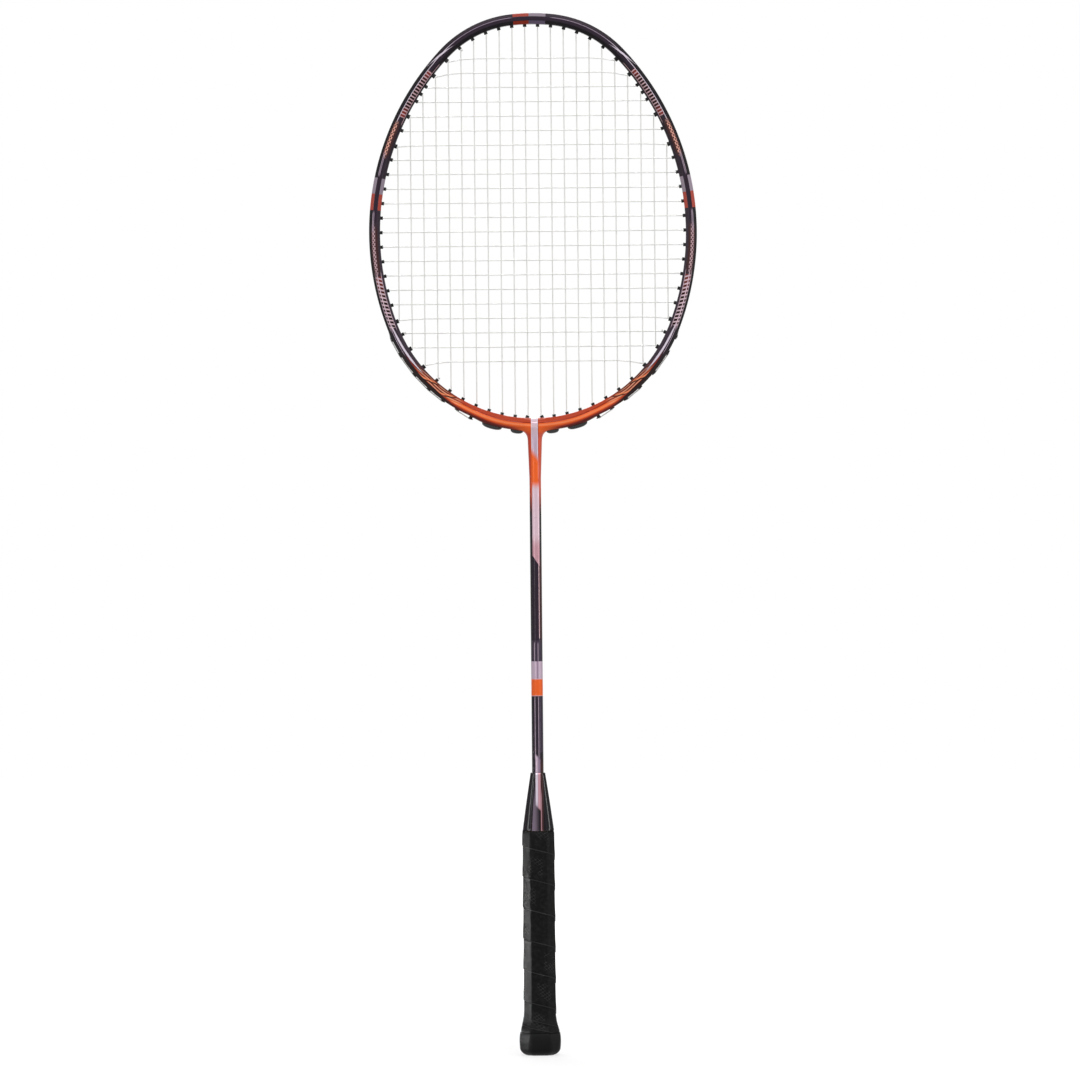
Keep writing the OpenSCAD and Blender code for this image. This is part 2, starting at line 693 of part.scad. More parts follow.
module cross_knots() {
    color(white) {
        knot(-1, first_anchor_h, cross_y);
        knot(run_way(last_cross), last_anchor_h, cross_y);
    }
}

bridged_mains = 4;
module grommets_top() grommet_row([-1, 1], [for (h = main_top_h) if (!is_shared(h)) h]);
module grommets_bottom() grommet_row([-1, 1], [for (n = [bridged_mains:main_n - 1])
    if (!is_shared(main_low_h[n])) main_low_h[n]]);
module grommets_left() grommet_row([-1], lone_cross_h);
module grommets_right() grommet_row([1], lone_cross_h);
module shared_grommets_left() grommet_row([-1], shared_h);
module shared_grommets_right() grommet_row([1], shared_h);
module bridge_left_outer() bridge(-1, 3);
module bridge_left_inner() bridge(-1, 1);
module bridge_right_inner() bridge(1, 1);
module bridge_right_outer() bridge(1, 3);

head_hoop();
throat_wrap();
t_joint();
shaft();
cone_cap();
handle_core();
butt_cap();
grip_wrap();
main_string();
cross_string();
main_knots();
cross_knots();
grommets_top();
grommets_bottom();
grommets_left();
grommets_right();
shared_grommets_left();
shared_grommets_right();
bridge_left_outer();
bridge_left_inner();
bridge_right_inner();
bridge_right_outer();
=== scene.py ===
import math

import bmesh
import bpy
import numpy as np
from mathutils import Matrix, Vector


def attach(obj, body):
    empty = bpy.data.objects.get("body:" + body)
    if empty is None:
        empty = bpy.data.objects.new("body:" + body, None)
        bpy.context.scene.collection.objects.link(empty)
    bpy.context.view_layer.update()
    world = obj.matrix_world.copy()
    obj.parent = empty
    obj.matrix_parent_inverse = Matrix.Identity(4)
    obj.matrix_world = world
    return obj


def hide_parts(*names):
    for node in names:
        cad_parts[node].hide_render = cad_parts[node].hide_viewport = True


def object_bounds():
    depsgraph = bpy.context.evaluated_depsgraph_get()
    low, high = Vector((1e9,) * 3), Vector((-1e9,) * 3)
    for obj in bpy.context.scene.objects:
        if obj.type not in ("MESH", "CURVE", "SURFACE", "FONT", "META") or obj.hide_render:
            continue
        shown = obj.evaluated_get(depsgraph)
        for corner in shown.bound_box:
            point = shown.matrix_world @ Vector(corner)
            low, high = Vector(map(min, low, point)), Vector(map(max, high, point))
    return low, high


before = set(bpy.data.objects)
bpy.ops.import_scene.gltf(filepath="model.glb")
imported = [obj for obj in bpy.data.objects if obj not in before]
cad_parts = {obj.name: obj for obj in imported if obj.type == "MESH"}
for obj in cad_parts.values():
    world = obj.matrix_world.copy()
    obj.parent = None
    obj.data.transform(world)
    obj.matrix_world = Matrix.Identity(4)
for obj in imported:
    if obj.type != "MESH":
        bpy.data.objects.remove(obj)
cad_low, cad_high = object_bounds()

MM = 0.001

# Driving sizes, the same as the solids have
RACKET_LEN = cad_high.z / MM
CROWN_R, CROWN_A = 130, 5.4
SHOULDER_R, SHOULDER_A = 70, 41.5
SIDE_R, SIDE_A = 170, 64.3
HOOP_W, HOOP_D = 7.1, 10.5
HOOP_FLAT, HOOP_EDGE = 2.8, 5.6
GROOVE_W, GROOVE_DEPTH = 4.6, 1.8
WRAP_T, WRAP_FACE_T = 1.2, 0.6
WRAPPED_MAINS = 5
NECK_LEN, NECK_D, THROAT_FILLET = 28, 9.5, 2.5
SHAFT_D, SHAFT_FOOT = 7.5, 60.3
GRIP_W, GRIP_D, GRIP_FACET = 20.8, 24.4, 10.7
GRIP_T = 1.7
GRIP_FOOT, GRIP_HEAD = 14.8, 145.2
CAP_H, FLARE_W, BELLY_H, FLARE_H, BELLY_IN = 14.7, 3, 9.7, 27, 1.1
BUTT_ROUND_W, BUTT_ROUND_H = 5.6, 4.6
CONE_FOOT, CONE_LEN, CONE_TOP, CONE_STEP = 145.35, 37.55, 9.4, 0.3
STRING_D, MAIN_PITCH, CROSS_PITCH = 0.7, 8.3, 9.35
MAIN_EDGE_GAP, CROSS_TOP_GAP, CROSS_BOTTOM_GAP, CROSS_EASE = 9.5, 20, 34.5, 12
GROMMET_D, GROMMET_BORE, HEAD_D = 2.4, 1.75, 3.4
SHARED_D, SHARED_BORE, SHARED_HEAD_D = 3, 2.2, 3.9
HEAD_T, TIP_LEN, SHARE_GAP = 0.7, 1.6, 4
BRIDGE_W, BRIDGE_WALL, BRIDGE_END, BRIDGE_GAP = 4.6, 0.4, 1.8, 0.2
FIT, STRING_PLAY, LAYER_GAP, TURN_PLAY = 0.05, 0.2, 0.1, 0.4


# The hoop's mid-line. A heading is the outward direction in degrees, 0 at the top and 180 at the throat
def toward(h):
    return np.array([math.sin(math.radians(h)), math.cos(math.radians(h))])


ARC_H = [0, CROWN_A, CROWN_A + SHOULDER_A, CROWN_A + SHOULDER_A + SIDE_A, 180]
crown_c = np.array([0, RACKET_LEN - HOOP_W / 2 - CROWN_R])
shoulder_c = crown_c + (CROWN_R - SHOULDER_R) * toward(ARC_H[1])
side_c = shoulder_c + (SHOULDER_R - SIDE_R) * toward(ARC_H[2])
BASE_R = side_c[0] / toward(ARC_H[3])[0] + SIDE_R
base_c = np.array([0, side_c[1] + (SIDE_R - BASE_R) * toward(ARC_H[3])[1]])
ARC_R = [CROWN_R, SHOULDER_R, SIDE_R, BASE_R]
ARC_C = [crown_c, shoulder_c, side_c, base_c]
HOOP_BOTTOM = base_c[1] - BASE_R - HOOP_W / 2


def arc_of(h):
    return sum(h >= edge for edge in ARC_H[1:4])


def hoop_pt(h, off=0):
    return ARC_C[arc_of(h)] + (ARC_R[arc_of(h)] + off) * toward(h)


def travel(h):
    spans = [max(0, min(h, ARC_H[k + 1]) - ARC_H[k]) for k in range(4)]
    return sum(r * math.radians(span) for r, span in zip(ARC_R, spans))


def heading_at(length):
    for k in range(4):
        span = ARC_R[k] * math.radians(ARC_H[k + 1] - ARC_H[k])
        if length <= span or k == 3:
            return min(180, ARC_H[k] + math.degrees(length / ARC_R[k]))
        length -= span


HALF_ROUND = travel(180)

# Headings of the holes: mains count from the middle outwards, crosses from the top down
TURN_OFF = HOOP_W / 2 + TIP_LEN + TURN_PLAY


def fitting(angles):
    return next(a for k, a in enumerate(angles) if ARC_H[k] <= a <= ARC_H[k + 1])


def arc_angles(at, axis, inverse):
    """Angles at which each arc's line of string bends comes level with a place."""
    shares = [(at - c[axis]) / (r - TURN_OFF) for c, r in zip(ARC_C, ARC_R)]
    return [math.degrees(inverse(np.clip(share, -1, 1))) for share in shares]


def upper_h(x):
    return fitting(arc_angles(x, 0, math.asin))


def lower_h(x):
    return fitting([180 - a for a in arc_angles(x, 0, math.asin)])


def level_h(z):
    return fitting(arc_angles(z, 1, math.acos))


MAIN_N = math.floor((hoop_pt(90, -TURN_OFF)[0] - MAIN_EDGE_GAP) / MAIN_PITCH + 0.5)
main_x = [(n + 0.5) * MAIN_PITCH for n in range(MAIN_N)]
main_top_h = [upper_h(x) for x in main_x]
main_low_h = [lower_h(x) for x in main_x]
main_h = main_top_h + main_low_h
CROSS_FIRST = hoop_pt(0, -TURN_OFF)[1] - CROSS_TOP_GAP
CROSS_N = math.floor((CROSS_FIRST - hoop_pt(180, -TURN_OFF)[1] - CROSS_BOTTOM_GAP) / CROSS_PITCH) + 1
cross_z = [CROSS_FIRST - j * CROSS_PITCH for j in range(CROSS_N)]


def near(headings, h, reach=0.01):
    return [m for m in headings if abs(travel(m) - travel(h)) < reach]


cross_h = [(near(main_h, h, SHARE_GAP) + [h])[0] for h in map(level_h, cross_z)]
lone_cross_h = [h for h in cross_h if not near(main_h, h)]
shared_h = [h for h in main_h if near(cross_h, h)]
lone_main_h = [h for h in main_h if not near(cross_h, h)]
hole_h = main_h + lone_cross_h
groove_h = (max(h for h in hole_h if h < ARC_H[3]) + min(h for h in hole_h if h >= ARC_H[3])) / 2
wrap_h = (main_low_h[WRAPPED_MAINS - 1] + main_low_h[WRAPPED_MAINS]) / 2


def seat_off(h):
    if h < groove_h:
        return HOOP_W / 2 - GROOVE_DEPTH
    return HOOP_W / 2 + (WRAP_T if h > wrap_h else 0)


# A hole runs from its string's bend to its seat. The first mains lean out, past the neck
TUNNEL_D = STRING_D + 2 * STRING_PLAY
BRIDGE_T = HEAD_T + STRING_D / 2 + STRING_PLAY + TUNNEL_D / 2 + BRIDGE_WALL
LOOP_OFF = 0.6 * HEAD_T + STRING_D / 2
LEAN_X = NECK_D / 2 + THROAT_FILLET + BRIDGE_GAP + BRIDGE_END


def out_h(h):
    if h == main_low_h[0]:
        return 180 - math.degrees(math.asin(LEAN_X / (BASE_R + seat_off(h))))
    return h


def bend_pt(h):
    return hoop_pt(h, -TURN_OFF)


def seat_pt(h):
    return hoop_pt(out_h(h), seat_off(h))


def hole_len(h):
    return np.linalg.norm(seat_pt(h) - bend_pt(h))


def hole_dir(h):
    return (seat_pt(h) - bend_pt(h)) / hole_len(h)


def placed(side, p):
    return np.array([side * p[0], p[1]])


def side_of(x):
    return 1 if x >= 0 else -1


# Mesh helpers: rings of points make skins, skins make pieces
def unit(v):
    return v / np.linalg.norm(v, axis=-1, keepdims=True)


def turns(count):
    return np.linspace(0, 2 * math.pi, count, endpoint=False)


def rounded(corners, radii, steps, support):
    """A closed outline with its corners rounded, and a point on the flat beside each rounding."""
    corners = np.array(corners, float)
    radii = np.broadcast_to(radii, len(corners))
    points = []
    for i, p in enumerate(corners):
        a, b = unit(corners[i - 1] - p), unit(corners[(i + 1) % len(corners)] - p)
        half = math.acos(np.clip(a @ b, -1, 1)) / 2
        cut = radii[i] / math.tan(half)
        middle = p + unit(a + b) * radii[i] / math.sin(half)
        start, end = p + a * cut - middle, p + b * cut - middle
        swing = math.pi - 2 * half
        points.append(p + a * (cut + support))
        for t in np.arange(steps + 1) / steps:
            mixed = math.sin((1 - t) * swing) * start + math.sin(t * swing) * end
            points.append(middle + mixed / math.sin(swing))
        points.append(p + b * (cut + support))
    return np.array(points)


def stood(flat, deep):
    """Points of the strings' plane, each set at a depth."""
    return np.stack([flat[:, 0], deep, flat[:, 1]], 1)


def skin(rings, joined=False):
    """Vertices and faces of a surface through rings of points with the same count."""
    rings = np.array(rings, float)
    count, sides = rings.shape[:2]
    faces = []
    for i in range(count if joined else count - 1):
        a, b = i * sides, (i + 1) % count * sides
        faces += [(a + j, a + (j + 1) % sides, b + (j + 1) % sides, b + j) for j in range(sides)]
    if not joined:
        faces.append(tuple(range(sides))[::-1])
        faces.append(tuple((count - 1) * sides + j for j in range(sides)))
    return rings.reshape(-1, 3), faces


def merged(skins):
    verts, faces, start = [], [], 0
    for v, f in skins:
        verts.append(v)
        faces += [tuple(i + start for i in face) for face in f]
        start += len(v)
    return np.concatenate(verts), faces


def meshed(name, shape):
    """A mesh in metres, with its faces turned outward."""
    verts, faces = shape
    mesh = bpy.data.meshes.new(name)
    mesh.from_pydata((verts * MM).tolist(), [], faces)
    work = bmesh.new()
    work.from_mesh(mesh)
    bmesh.ops.recalc_face_normals(work, faces=work.faces)
    work.to_mesh(mesh)
    work.free()
    return mesh


def added(name, data):
    made = bpy.data.objects.new(name, data)
    bpy.context.scene.collection.objects.link(made)
    return made


def piece(name, shape, material, slot, nodes, crease=None, **attributes):
    """A shown piece that rides on the racket and stands for the named solids."""
    mesh = meshed(name, shape)
    mesh.shade_smooth()
    if crease:
        mesh.set_sharp_from_angle(angle=math.radians(crease))
    for key, values in attributes.items():
        layer = mesh.attributes.new(key, "FLOAT", "POINT")
        layer.data.foreach_set("value", np.array(values, np.float32).ravel())
    mesh.materials.append(material)
    made = added(name, mesh)
    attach(made, "root")
    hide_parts(*nodes)


def eased(x, low, high):
    t = np.clip((x - low) / (high - low), 0, 1)
    return t * t * (3 - 2 * t)


# Material helpers. A Field is a value that varies over a surface. Fields add and scale like numbers,
# and as masks they join: & where both are on, | where either is
def joining(operation):
    return lambda field, other: field.shade.math(operation, field, other)


class Field:
    def __init__(self, shade, socket):
        self.shade, self.socket = shade, socket

    __add__, __sub__ = joining("ADD"), joining("SUBTRACT")
    __mul__ = __and__ = joining("MULTIPLY")
    __or__ = joining("MAXIMUM")

    def __rsub__(self, other):
        return self.shade.math("SUBTRACT", other, self)

    def __abs__(self):
        return self.shade.math("ABSOLUTE", self)

    def step(self, off, on):
        """A smooth rise from 0 at one value to 1 at the other."""
        ends = {"Value": self, "From Min": off, "From Max": on}
        return self.shade.node("MapRange", ends, interpolation_type="SMOOTHSTEP")

    def band(self, low, high, soft=0.06):
        return self.step(low - soft, low + soft) & self.step(high + soft, high - soft)

    def line(self, level, half, soft=0.06):
        return abs(self - level).step(half + soft, half - soft)

    def ticks(self, period, share, soft=0.12):
        """Bars across the field: the first share of each period is on."""
        phase = self.shade.math("FRACT", self.shade.math("DIVIDE", self, period))
        return phase.band(soft, share, soft)

    def crossed(self, other, *bars):
        """Two sets of slanted bars that cross."""
        return (self + other).ticks(*bars) | (self - other).ticks(*bars)


class Shade:
    """A material or world in the making: short calls add nodes and give their outputs as fields."""

    def __init__(self, owner, shader="Principled BSDF", **uniform):
        owner.use_nodes = True
        self.owner, self.tree = owner, owner.node_tree
        self.shader = self.tree.nodes[shader]
        self.paint(**uniform)

    def paint(self, **values):
        for key, value in values.items():
            self.feed(self.shader.inputs[key.replace("_", " ")], value)
        return self.owner

    def feed(self, socket, value):
        if isinstance(value, Field):
            self.tree.links.new(value.socket, socket)
        else:
            socket.default_value = value

    def node(self, kind, inputs, output=0, **settings):
        made = self.tree.nodes.new("ShaderNode" + kind)
        for key, value in settings.items():
            setattr(made, key, value)
        for key, value in inputs.items():
            self.feed(made.inputs[key], value)
        return Field(self, made.outputs[output])

    def attribute(self, name):
        return self.node("Attribute", {}, "Fac", attribute_name=name)

    def math(self, operation, *values):
        return self.node("Math", dict(enumerate(values)), operation=operation)

    def place(self, scale=(1, 1, 1)):
        return self.node("Mapping", {"Vector": self.node("TexCoord", {}, "Object"), "Scale": scale})

    def axes(self):
        """The place on the surface in millimetres, as three fields."""
        place = self.place((1 / MM,) * 3)
        return [self.node("SeparateXYZ", {"Vector": place}, axis) for axis in "XYZ"]

    def mix(self, a, b, factor, blend_type="MIX"):
        return self.node("Mix", {0: factor, 6: a, 7: b}, 2, data_type="RGBA", blend_type=blend_type)

    def layers(self, colour, *layers):
        """Paints with their masks, laid over a colour one after another."""
        for paint, mask in layers:
            colour = self.mix(colour, paint, mask)
        return colour

    def blend(self, a, b, factor):
        return self.node("Mix", {0: factor, 2: a, 3: b}, data_type="FLOAT")

    def noise(self, scale, detail, stretch=(1, 1, 1)):
        return self.node("TexNoise", {"Vector": self.place(stretch), "Scale": scale, "Detail": detail})

    def bump(self, height, strength, distance):
        return self.node("Bump", {"Height": height, "Strength": strength, "Distance": distance})

    def seen_rays(self):
        """1 for rays that show the surround: from the camera, in a reflection or through glass."""
        kinds = ("Is Camera Ray", "Is Glossy Ray", "Is Transmission Ray")
        camera, glossy, through = [self.node("LightPath", {}, kind) for kind in kinds]
        return camera | glossy | through


def shaded(name, **uniform):
    return Shade(bpy.data.materials.new(name), **uniform)


def srgb(*levels):
    """A colour as the eye names it, 0 to 255, in Blender's linear numbers."""
    shares = [level / 255 for level in levels]
    return (*(c / 12.92 if c <= 0.04 else ((c + 0.055) / 1.055) ** 2.4 for c in shares), 1)


def grey(level):
    return srgb(level, level, level)


# Colours
WHITE = grey(255)
PLUM = srgb(46, 34, 48)
PLUM_DEEP = srgb(17, 10, 18)
PLUM_SOFT = srgb(64, 53, 64)
PLUM_GREY = srgb(104, 90, 116)
ORANGE = srgb(250, 106, 42)
GLOW_ORANGE = srgb(255, 142, 92)
ORANGE_RED = srgb(206, 66, 36)
DEEP_RED = srgb(152, 42, 18)
CORAL = srgb(222, 92, 66)
DARK_RED = srgb(104, 22, 10)
BRICK = srgb(198, 72, 42)
RUST = srgb(112, 40, 26)
RED_BROWN = srgb(34, 10, 9)
BAND_ORANGE = srgb(184, 78, 66)
MAUVE = srgb(148, 124, 148)
MAUVE_BROWN = srgb(64, 34, 35)
COPPER = srgb(250, 182, 164)
LADDER_RED = srgb(126, 48, 42)
ROSE = srgb(204, 154, 166)
PINK = srgb(216, 178, 186)
PALE_PINK = srgb(226, 196, 208)
LILAC_GREY = srgb(150, 132, 152)
SILVER = srgb(196, 174, 192)
BAND_SILVER = srgb(158, 144, 158)
WHITE_SILVER = srgb(226, 214, 228)
PALE_ORANGE = srgb(250, 186, 150)

# Share of metal flake in plain lacquer, in the throat's, and the extra share in bright paint
FLAKE, THROAT_FLAKE, BRIGHT_FLAKE = 0.04, 0.08, 0.1


def lacquer(name, coat=0.15, level=0.06):
    return shaded(name, Coat_Weight=coat, Coat_Roughness=0.05, Specular_IOR_Level=level)


def lacquered(s, colour, bright, flake=FLAKE, rough=0.24):
    """Metal flake in the colour, and the faint ripple of sprayed lacquer."""
    sparkle = s.mix(grey(236), WHITE, s.noise(9000, 1).step(0.45, 0.75))
    return s.paint(
        Base_Color=s.mix(colour, sparkle, 1, "MULTIPLY"),
        Metallic=bright * BRIGHT_FLAKE + flake,
        Roughness=s.blend(rough, rough + 0.1, s.noise(350, 3)),
        Normal=s.bump(s.noise(1400, 2), 0.05, 0.0002),
    )


# The hoop's paint: plum with bands, ladders and pinstripes, fading to orange at the throat.
# run is the way along the hoop from its top, left negative, far is run without its sign, and out is the
# place across the hoop, outward positive
SIDE_SILVER, SIDE_ORANGE = (154.6, 165), (165, 175.6)
CROWN_SILVER, CROWN_ORANGE = (-1.6, 9.2), (-11.8, -1.6)
FIRST_LADDER, SECOND_LADDER = (77.5, 112.5), (219, 253.5)
RUST_STRETCH, FLOW_PITCH = (284, 320), 15


def orange_layers(s, colour, far, out):
    """The orange of the lower hoop and the throat: rust with pale contour lines, then plain."""
    lean = out * 3 + far
    start, plain = lean.step(270, 292), lean.step(308, 322)
    # The dark outer edge, partly red-brown paint and partly painted shade on the down-facing underside,
    # moves outward as the hoop thickens towards the throat, and ends at the neck
    lower = out - (far.step(300, 318) * 1.3 + far.step(328, 352) * 1.1 - 0.9)
    clear = far.step(HALF_ROUND - 7, HALF_ROUND - 19)
    # The lighter inner bevel begins at a dark line
    inward = out - (far.step(322, 352) * 0.8 - 1.4)
    # Contour lines in the rust, and broad slanted flows with a dark line behind each
    rusty = out.band(-2.6, 1, 0.2) & far.band(*RUST_STRETCH, 3)
    wave = s.math("SINE", far * 0.24) * 0.4
    contour = (out + far * 0.05 + wave).ticks(1.5, 0.5)
    flow = out * 2.5 + far + wave
    shade = s.layers(
        RUST,
        (ORANGE, plain),
        (ORANGE_RED, lower.step(0.6, 1.5) & clear),
        (DARK_RED, lower.step(1.2, 2.4) & clear),
        (RED_BROWN, lower.step(1.2, 2.2) & far.step(324, 308)),
        # Painted highlight: a pale orange line along the face
        (GLOW_ORANGE, inward.line(1.6, 0.5, 0.5) & plain),
        (s.mix(RUST, BRICK, far.step(308, 324)), inward.step(0, -0.2)),
        (DEEP_RED, inward.line(0.05, 0.36, 0.16)),
        (PALE_ORANGE, (contour & rusty) * 0.72),
        (RED_BROWN, (flow - 294).ticks(FLOW_PITCH, 0.14, 0.03) & rusty),
        (GLOW_ORANGE, ((flow - 290.5).ticks(FLOW_PITCH, 0.23, 0.05) & rusty) * 0.7),
    )
    return s.mix(colour, shade, start), start


def slash_layers(s, colour, far, out):
    """Pinstripe that runs down to the first ladder as its outer rail, and a slash that leaves it."""
    pin = out.line(0.95, 0.2) & far.band(13, 117, 2)
    thick = far.band(60, 70, 5) * 0.5 + 0.08
    slash = out.line((far - 62) * 0.17 + 0.55, thick) & far.band(55, 76, 1)
    tone = s.mix(LILAC_GREY, WHITE_SILVER, far.step(48, 64))
    return s.mix(colour, tone, pin | slash), pin | slash


def ladder_layers(s, colour, far, out):
    """Two ladders of pink ticks between pinstripes, the first one red towards its ends."""
    rail = out.line(-2.5, 0.13) & far.band(70, 117, 1)
    panel = out.band(-2.3, 0.8) & far.band(*FIRST_LADDER, 0.4)
    ground = s.mix(LADDER_RED, RED_BROWN, far.band(82, 107, 3))
    colour = s.layers(colour, (ground, panel), (PINK, rail | (panel & far.ticks(2.15, 0.42))))
    rail = out.line(-1.95, 0.13) | out.line(0.6, 0.26) | out.line(1.9, 0.1)
    rail = rail & far.band(216, 255, 1.5)
    panel = out.band(-1.85, 1.75) & far.band(*SECOND_LADDER, 0.4)
    ground = s.mix(LADDER_RED, RED_BROWN, far.step(216, 236))
    rung = panel & (out * 0.5 + far).ticks(2.55, 0.48)
    return s.layers(colour, (ground, panel), (PALE_PINK, rail | rung))


def hatch_layers(s, colour, far, out):
    """Mauve stretches with hatching above and below the side bands, and silver lines of painted sheen
    beside the bands.
    """
    hatch = far.crossed(out * 1.6, 2.7, 0.4, 0.08)
    stretch = far.band(117, 140, 3) | far.band(187, 217, 4)
    beside = far.band(138, 153, 1.5) | far.band(177, 190, 1.5)
    return s.layers(
        colour,
        (MAUVE_BROWN, stretch & out.band(-2, 2.2, 0.4)),
        (s.mix(COPPER, PINK, far.step(150, 180)), hatch & stretch & out.band(-0.35, 1.5, 0.4)),
        # Painted sheen: two silver lines beside the bands
        (SILVER, (out.line(0.6, 0.14) | out.line(1.3, 0.16)) & beside),
    )


def hoop_paint():
    s = lacquer("hoop_paint")
    run, out = s.attribute("run"), s.attribute("out")
    far = abs(run)
    # Painted shade and light on the bevels: the inner bevel is darker at the crown, where it faces down,
    # and lighter towards the throat; the outer bevel is lighter at the crown, where it faces up, and
    # darker down the sides
    inner = s.mix(PLUM_DEEP, PLUM_SOFT, far.step(40, 240))
    outer = s.mix(PLUM_SOFT, PLUM_DEEP, far.step(20, 80))
    colour = s.layers(inner, (PLUM, out.step(-1.7, -0.8)), (outer, out.step(1, 1.9)))
    colour, slash = slash_layers(s, colour, far, out)
    colour = ladder_layers(s, colour, far, out)
    colour = hatch_layers(s, colour, far, out)
    # The orange of the throat lies under a last streak
    colour, orange = orange_layers(s, colour, far, out)
    thick = far.band(256, 282, 6) * 0.5 + 0.14
    streak = out.line((255 - far) * 0.032 + 0.05, thick) & far.band(252, 288, 2)
    twin = out.line(1.2, 0.13) & far.band(252, 272, 2)
    # Silver and orange bands at the sides and the crown, open along the middle of the face
    rim = 1 - out.band(-1.45, 1.4)
    silver = rim & (far.band(*SIDE_SILVER) | run.band(*CROWN_SILVER))
    warm = rim & (far.band(*SIDE_ORANGE) | run.band(*CROWN_ORANGE))
    # Painted shade: at the crown the bands are darker on their inner half, which faces down
    below = out.step(0.2, -0.2) & far.step(30, 20)
    colour = s.layers(
        colour,
        (WHITE_SILVER, streak),
        (SILVER, twin),
        (s.mix(BAND_SILVER, PLUM_GREY, below), silver),
        (s.mix(BAND_ORANGE, DEEP_RED, below), warm),
    )
    return lacquered(s, colour, slash | streak | silver | orange)


def throat_paint():
    s = lacquer("throat_paint")
    colour, _ = orange_layers(s, ORANGE, s.attribute("run"), s.attribute("out"))
    across, _, up = s.axes()
    neck = s.layers(
        ORANGE,
        (CORAL, across.step(1.9, 2.3)),
        (ORANGE_RED, across.step(-1.8, -3.2)),
        (PINK, across.line(2, 0.14) * 0.45),
    )
    # Silver strip down the middle with pale edges, cut off on a slant at its foot
    foot = (across * 1.2 + up).step(385.5, 392)
    strip = across.band(-2.4, 1.95) & foot
    tone = s.mix(SILVER, PALE_PINK, up.step(396, 408))
    edge = across.line(-2.1, 0.25) | across.line(1.65, 0.25)
    colour = s.layers(
        colour,
        (neck, up.step(HOOP_BOTTOM, HOOP_BOTTOM - 4)),
        (DEEP_RED, across.line(2.15, 0.2) & foot),
        (s.mix(tone, WHITE_SILVER, edge), strip),
    )
    return lacquered(s, colour, strip, THROAT_FLAKE)


# The shaft's stretches of paint, from the foot up
SHAFT_HATCH, SHAFT_ORANGE = (196, 232), (232.5, 243.4)
SHAFT_SILVER, SHAFT_WEAVE = (243.4, 255), (255, 268.7)


def shaft_paint():
    s = lacquer("shaft_paint")
    across, _, up = s.axes()
    orange = s.layers(ORANGE, (CORAL, across.step(1.6, 2)), (ORANGE_RED, across.step(-1.8, -3.2)))
    # Silver strip with a slanted foot, and a thin line that carries on from it
    strip = across.band(-2.15, 2.45) & (across * 1.5 + up).step(320, 320.6) & up.step(372, 366)
    tail = across.band(1.6, 2.1) & up.band(270, 321, 1)
    side = across.step(2.2, 2.4) & up.band(SHAFT_WEAVE[1], 322, 4)
    # Hatched stretches with pinstripes, and a silver and an orange band between them
    hatched = up.band(*SHAFT_WEAVE) | (up.band(*SHAFT_HATCH) & across.step(0.8, 1.2))
    hatched = hatched & (up + across * 1.2).ticks(1.2, 0.5)
    pins = across.line(-1.5, 0.2) | across.line(0.85, 0.18)
    pins = pins & (up.band(192, 232, 1) | up.band(255, 267, 1))
    silver = up.band(*SHAFT_SILVER)
    # Short silver flash above the cone, dark red on its right
    flash_top = 194.4 - across
    flash = across.band(-1.5, 1.6) & up.step(flash_top, flash_top - 2.5)
    flame = across.step(1.65, 1.8) & up.step(194, 187)
    colour = s.layers(
        PLUM,
        (PLUM_DEEP, abs(across).step(1.4, 3.4)),
        (orange, up.step(349, 370)),
        (s.mix(ROSE, PALE_PINK, up.step(328, 338)), strip),
        (MAUVE_BROWN, side),
        (PINK, tail),
        (PLUM_GREY, hatched * 0.6),
        (SILVER, pins),
        # Painted shade: a mauve line down the middle of the silver band, for the dark gap between its two
        # reflections
        (s.mix(SILVER, MAUVE, across.line(0.45, 0.35, 0.4)), silver),
        (ORANGE, up.band(*SHAFT_ORANGE)),
        (PINK, up.line(SHAFT_ORANGE[1] + 0.2, 0.25) | up.line(SHAFT_ORANGE[0] + 0.2, 0.2)),
        (s.mix(SILVER, MAUVE, across.step(-0.4, 0.8)), flash),
        (MAUVE_BROWN, flame),
    )
    return lacquered(s, colour, strip | silver | flash)


def cone_plastic():
    s = lacquer("cone_plastic", 0.25, 0.03)
    across, deep, up = s.axes()
    front = abs(deep).step(3, 5)
    # Painted sheen: violet on the left, inside the front panel's slanting edge
    inside = across - ((up - 151) * 0.06 - 3.8)
    painted_sheen = across.step(1.4, -3) & inside.step(-0.3, 0.3) & up.step(178, 160) & front
    # Strip with a slanted foot, white on its left, beside dark red with a fine line
    strip = across.band(-1.65, 1.65) & (across + up).step(159.4, 161.4) & front
    white = across.line(-0.8, 0.7, 0.2) & up.step(158, 166)
    tone = s.layers(LILAC_GREY, (ROSE, across.step(-0.6, 0.6)), (WHITE_SILVER, white))
    fine = across.line(2.1, 0.3, 0.12) & up.step(174, 166) & front
    colour = s.layers(
        PLUM_DEEP,
        (LILAC_GREY, painted_sheen * 0.62),
        (MAUVE_BROWN, across.band(1.3, 3.5, 0.2) & front),
        (ROSE, fine * 0.7),
        (tone, strip),
    )
    return lacquered(s, colour, strip, rough=0.07)


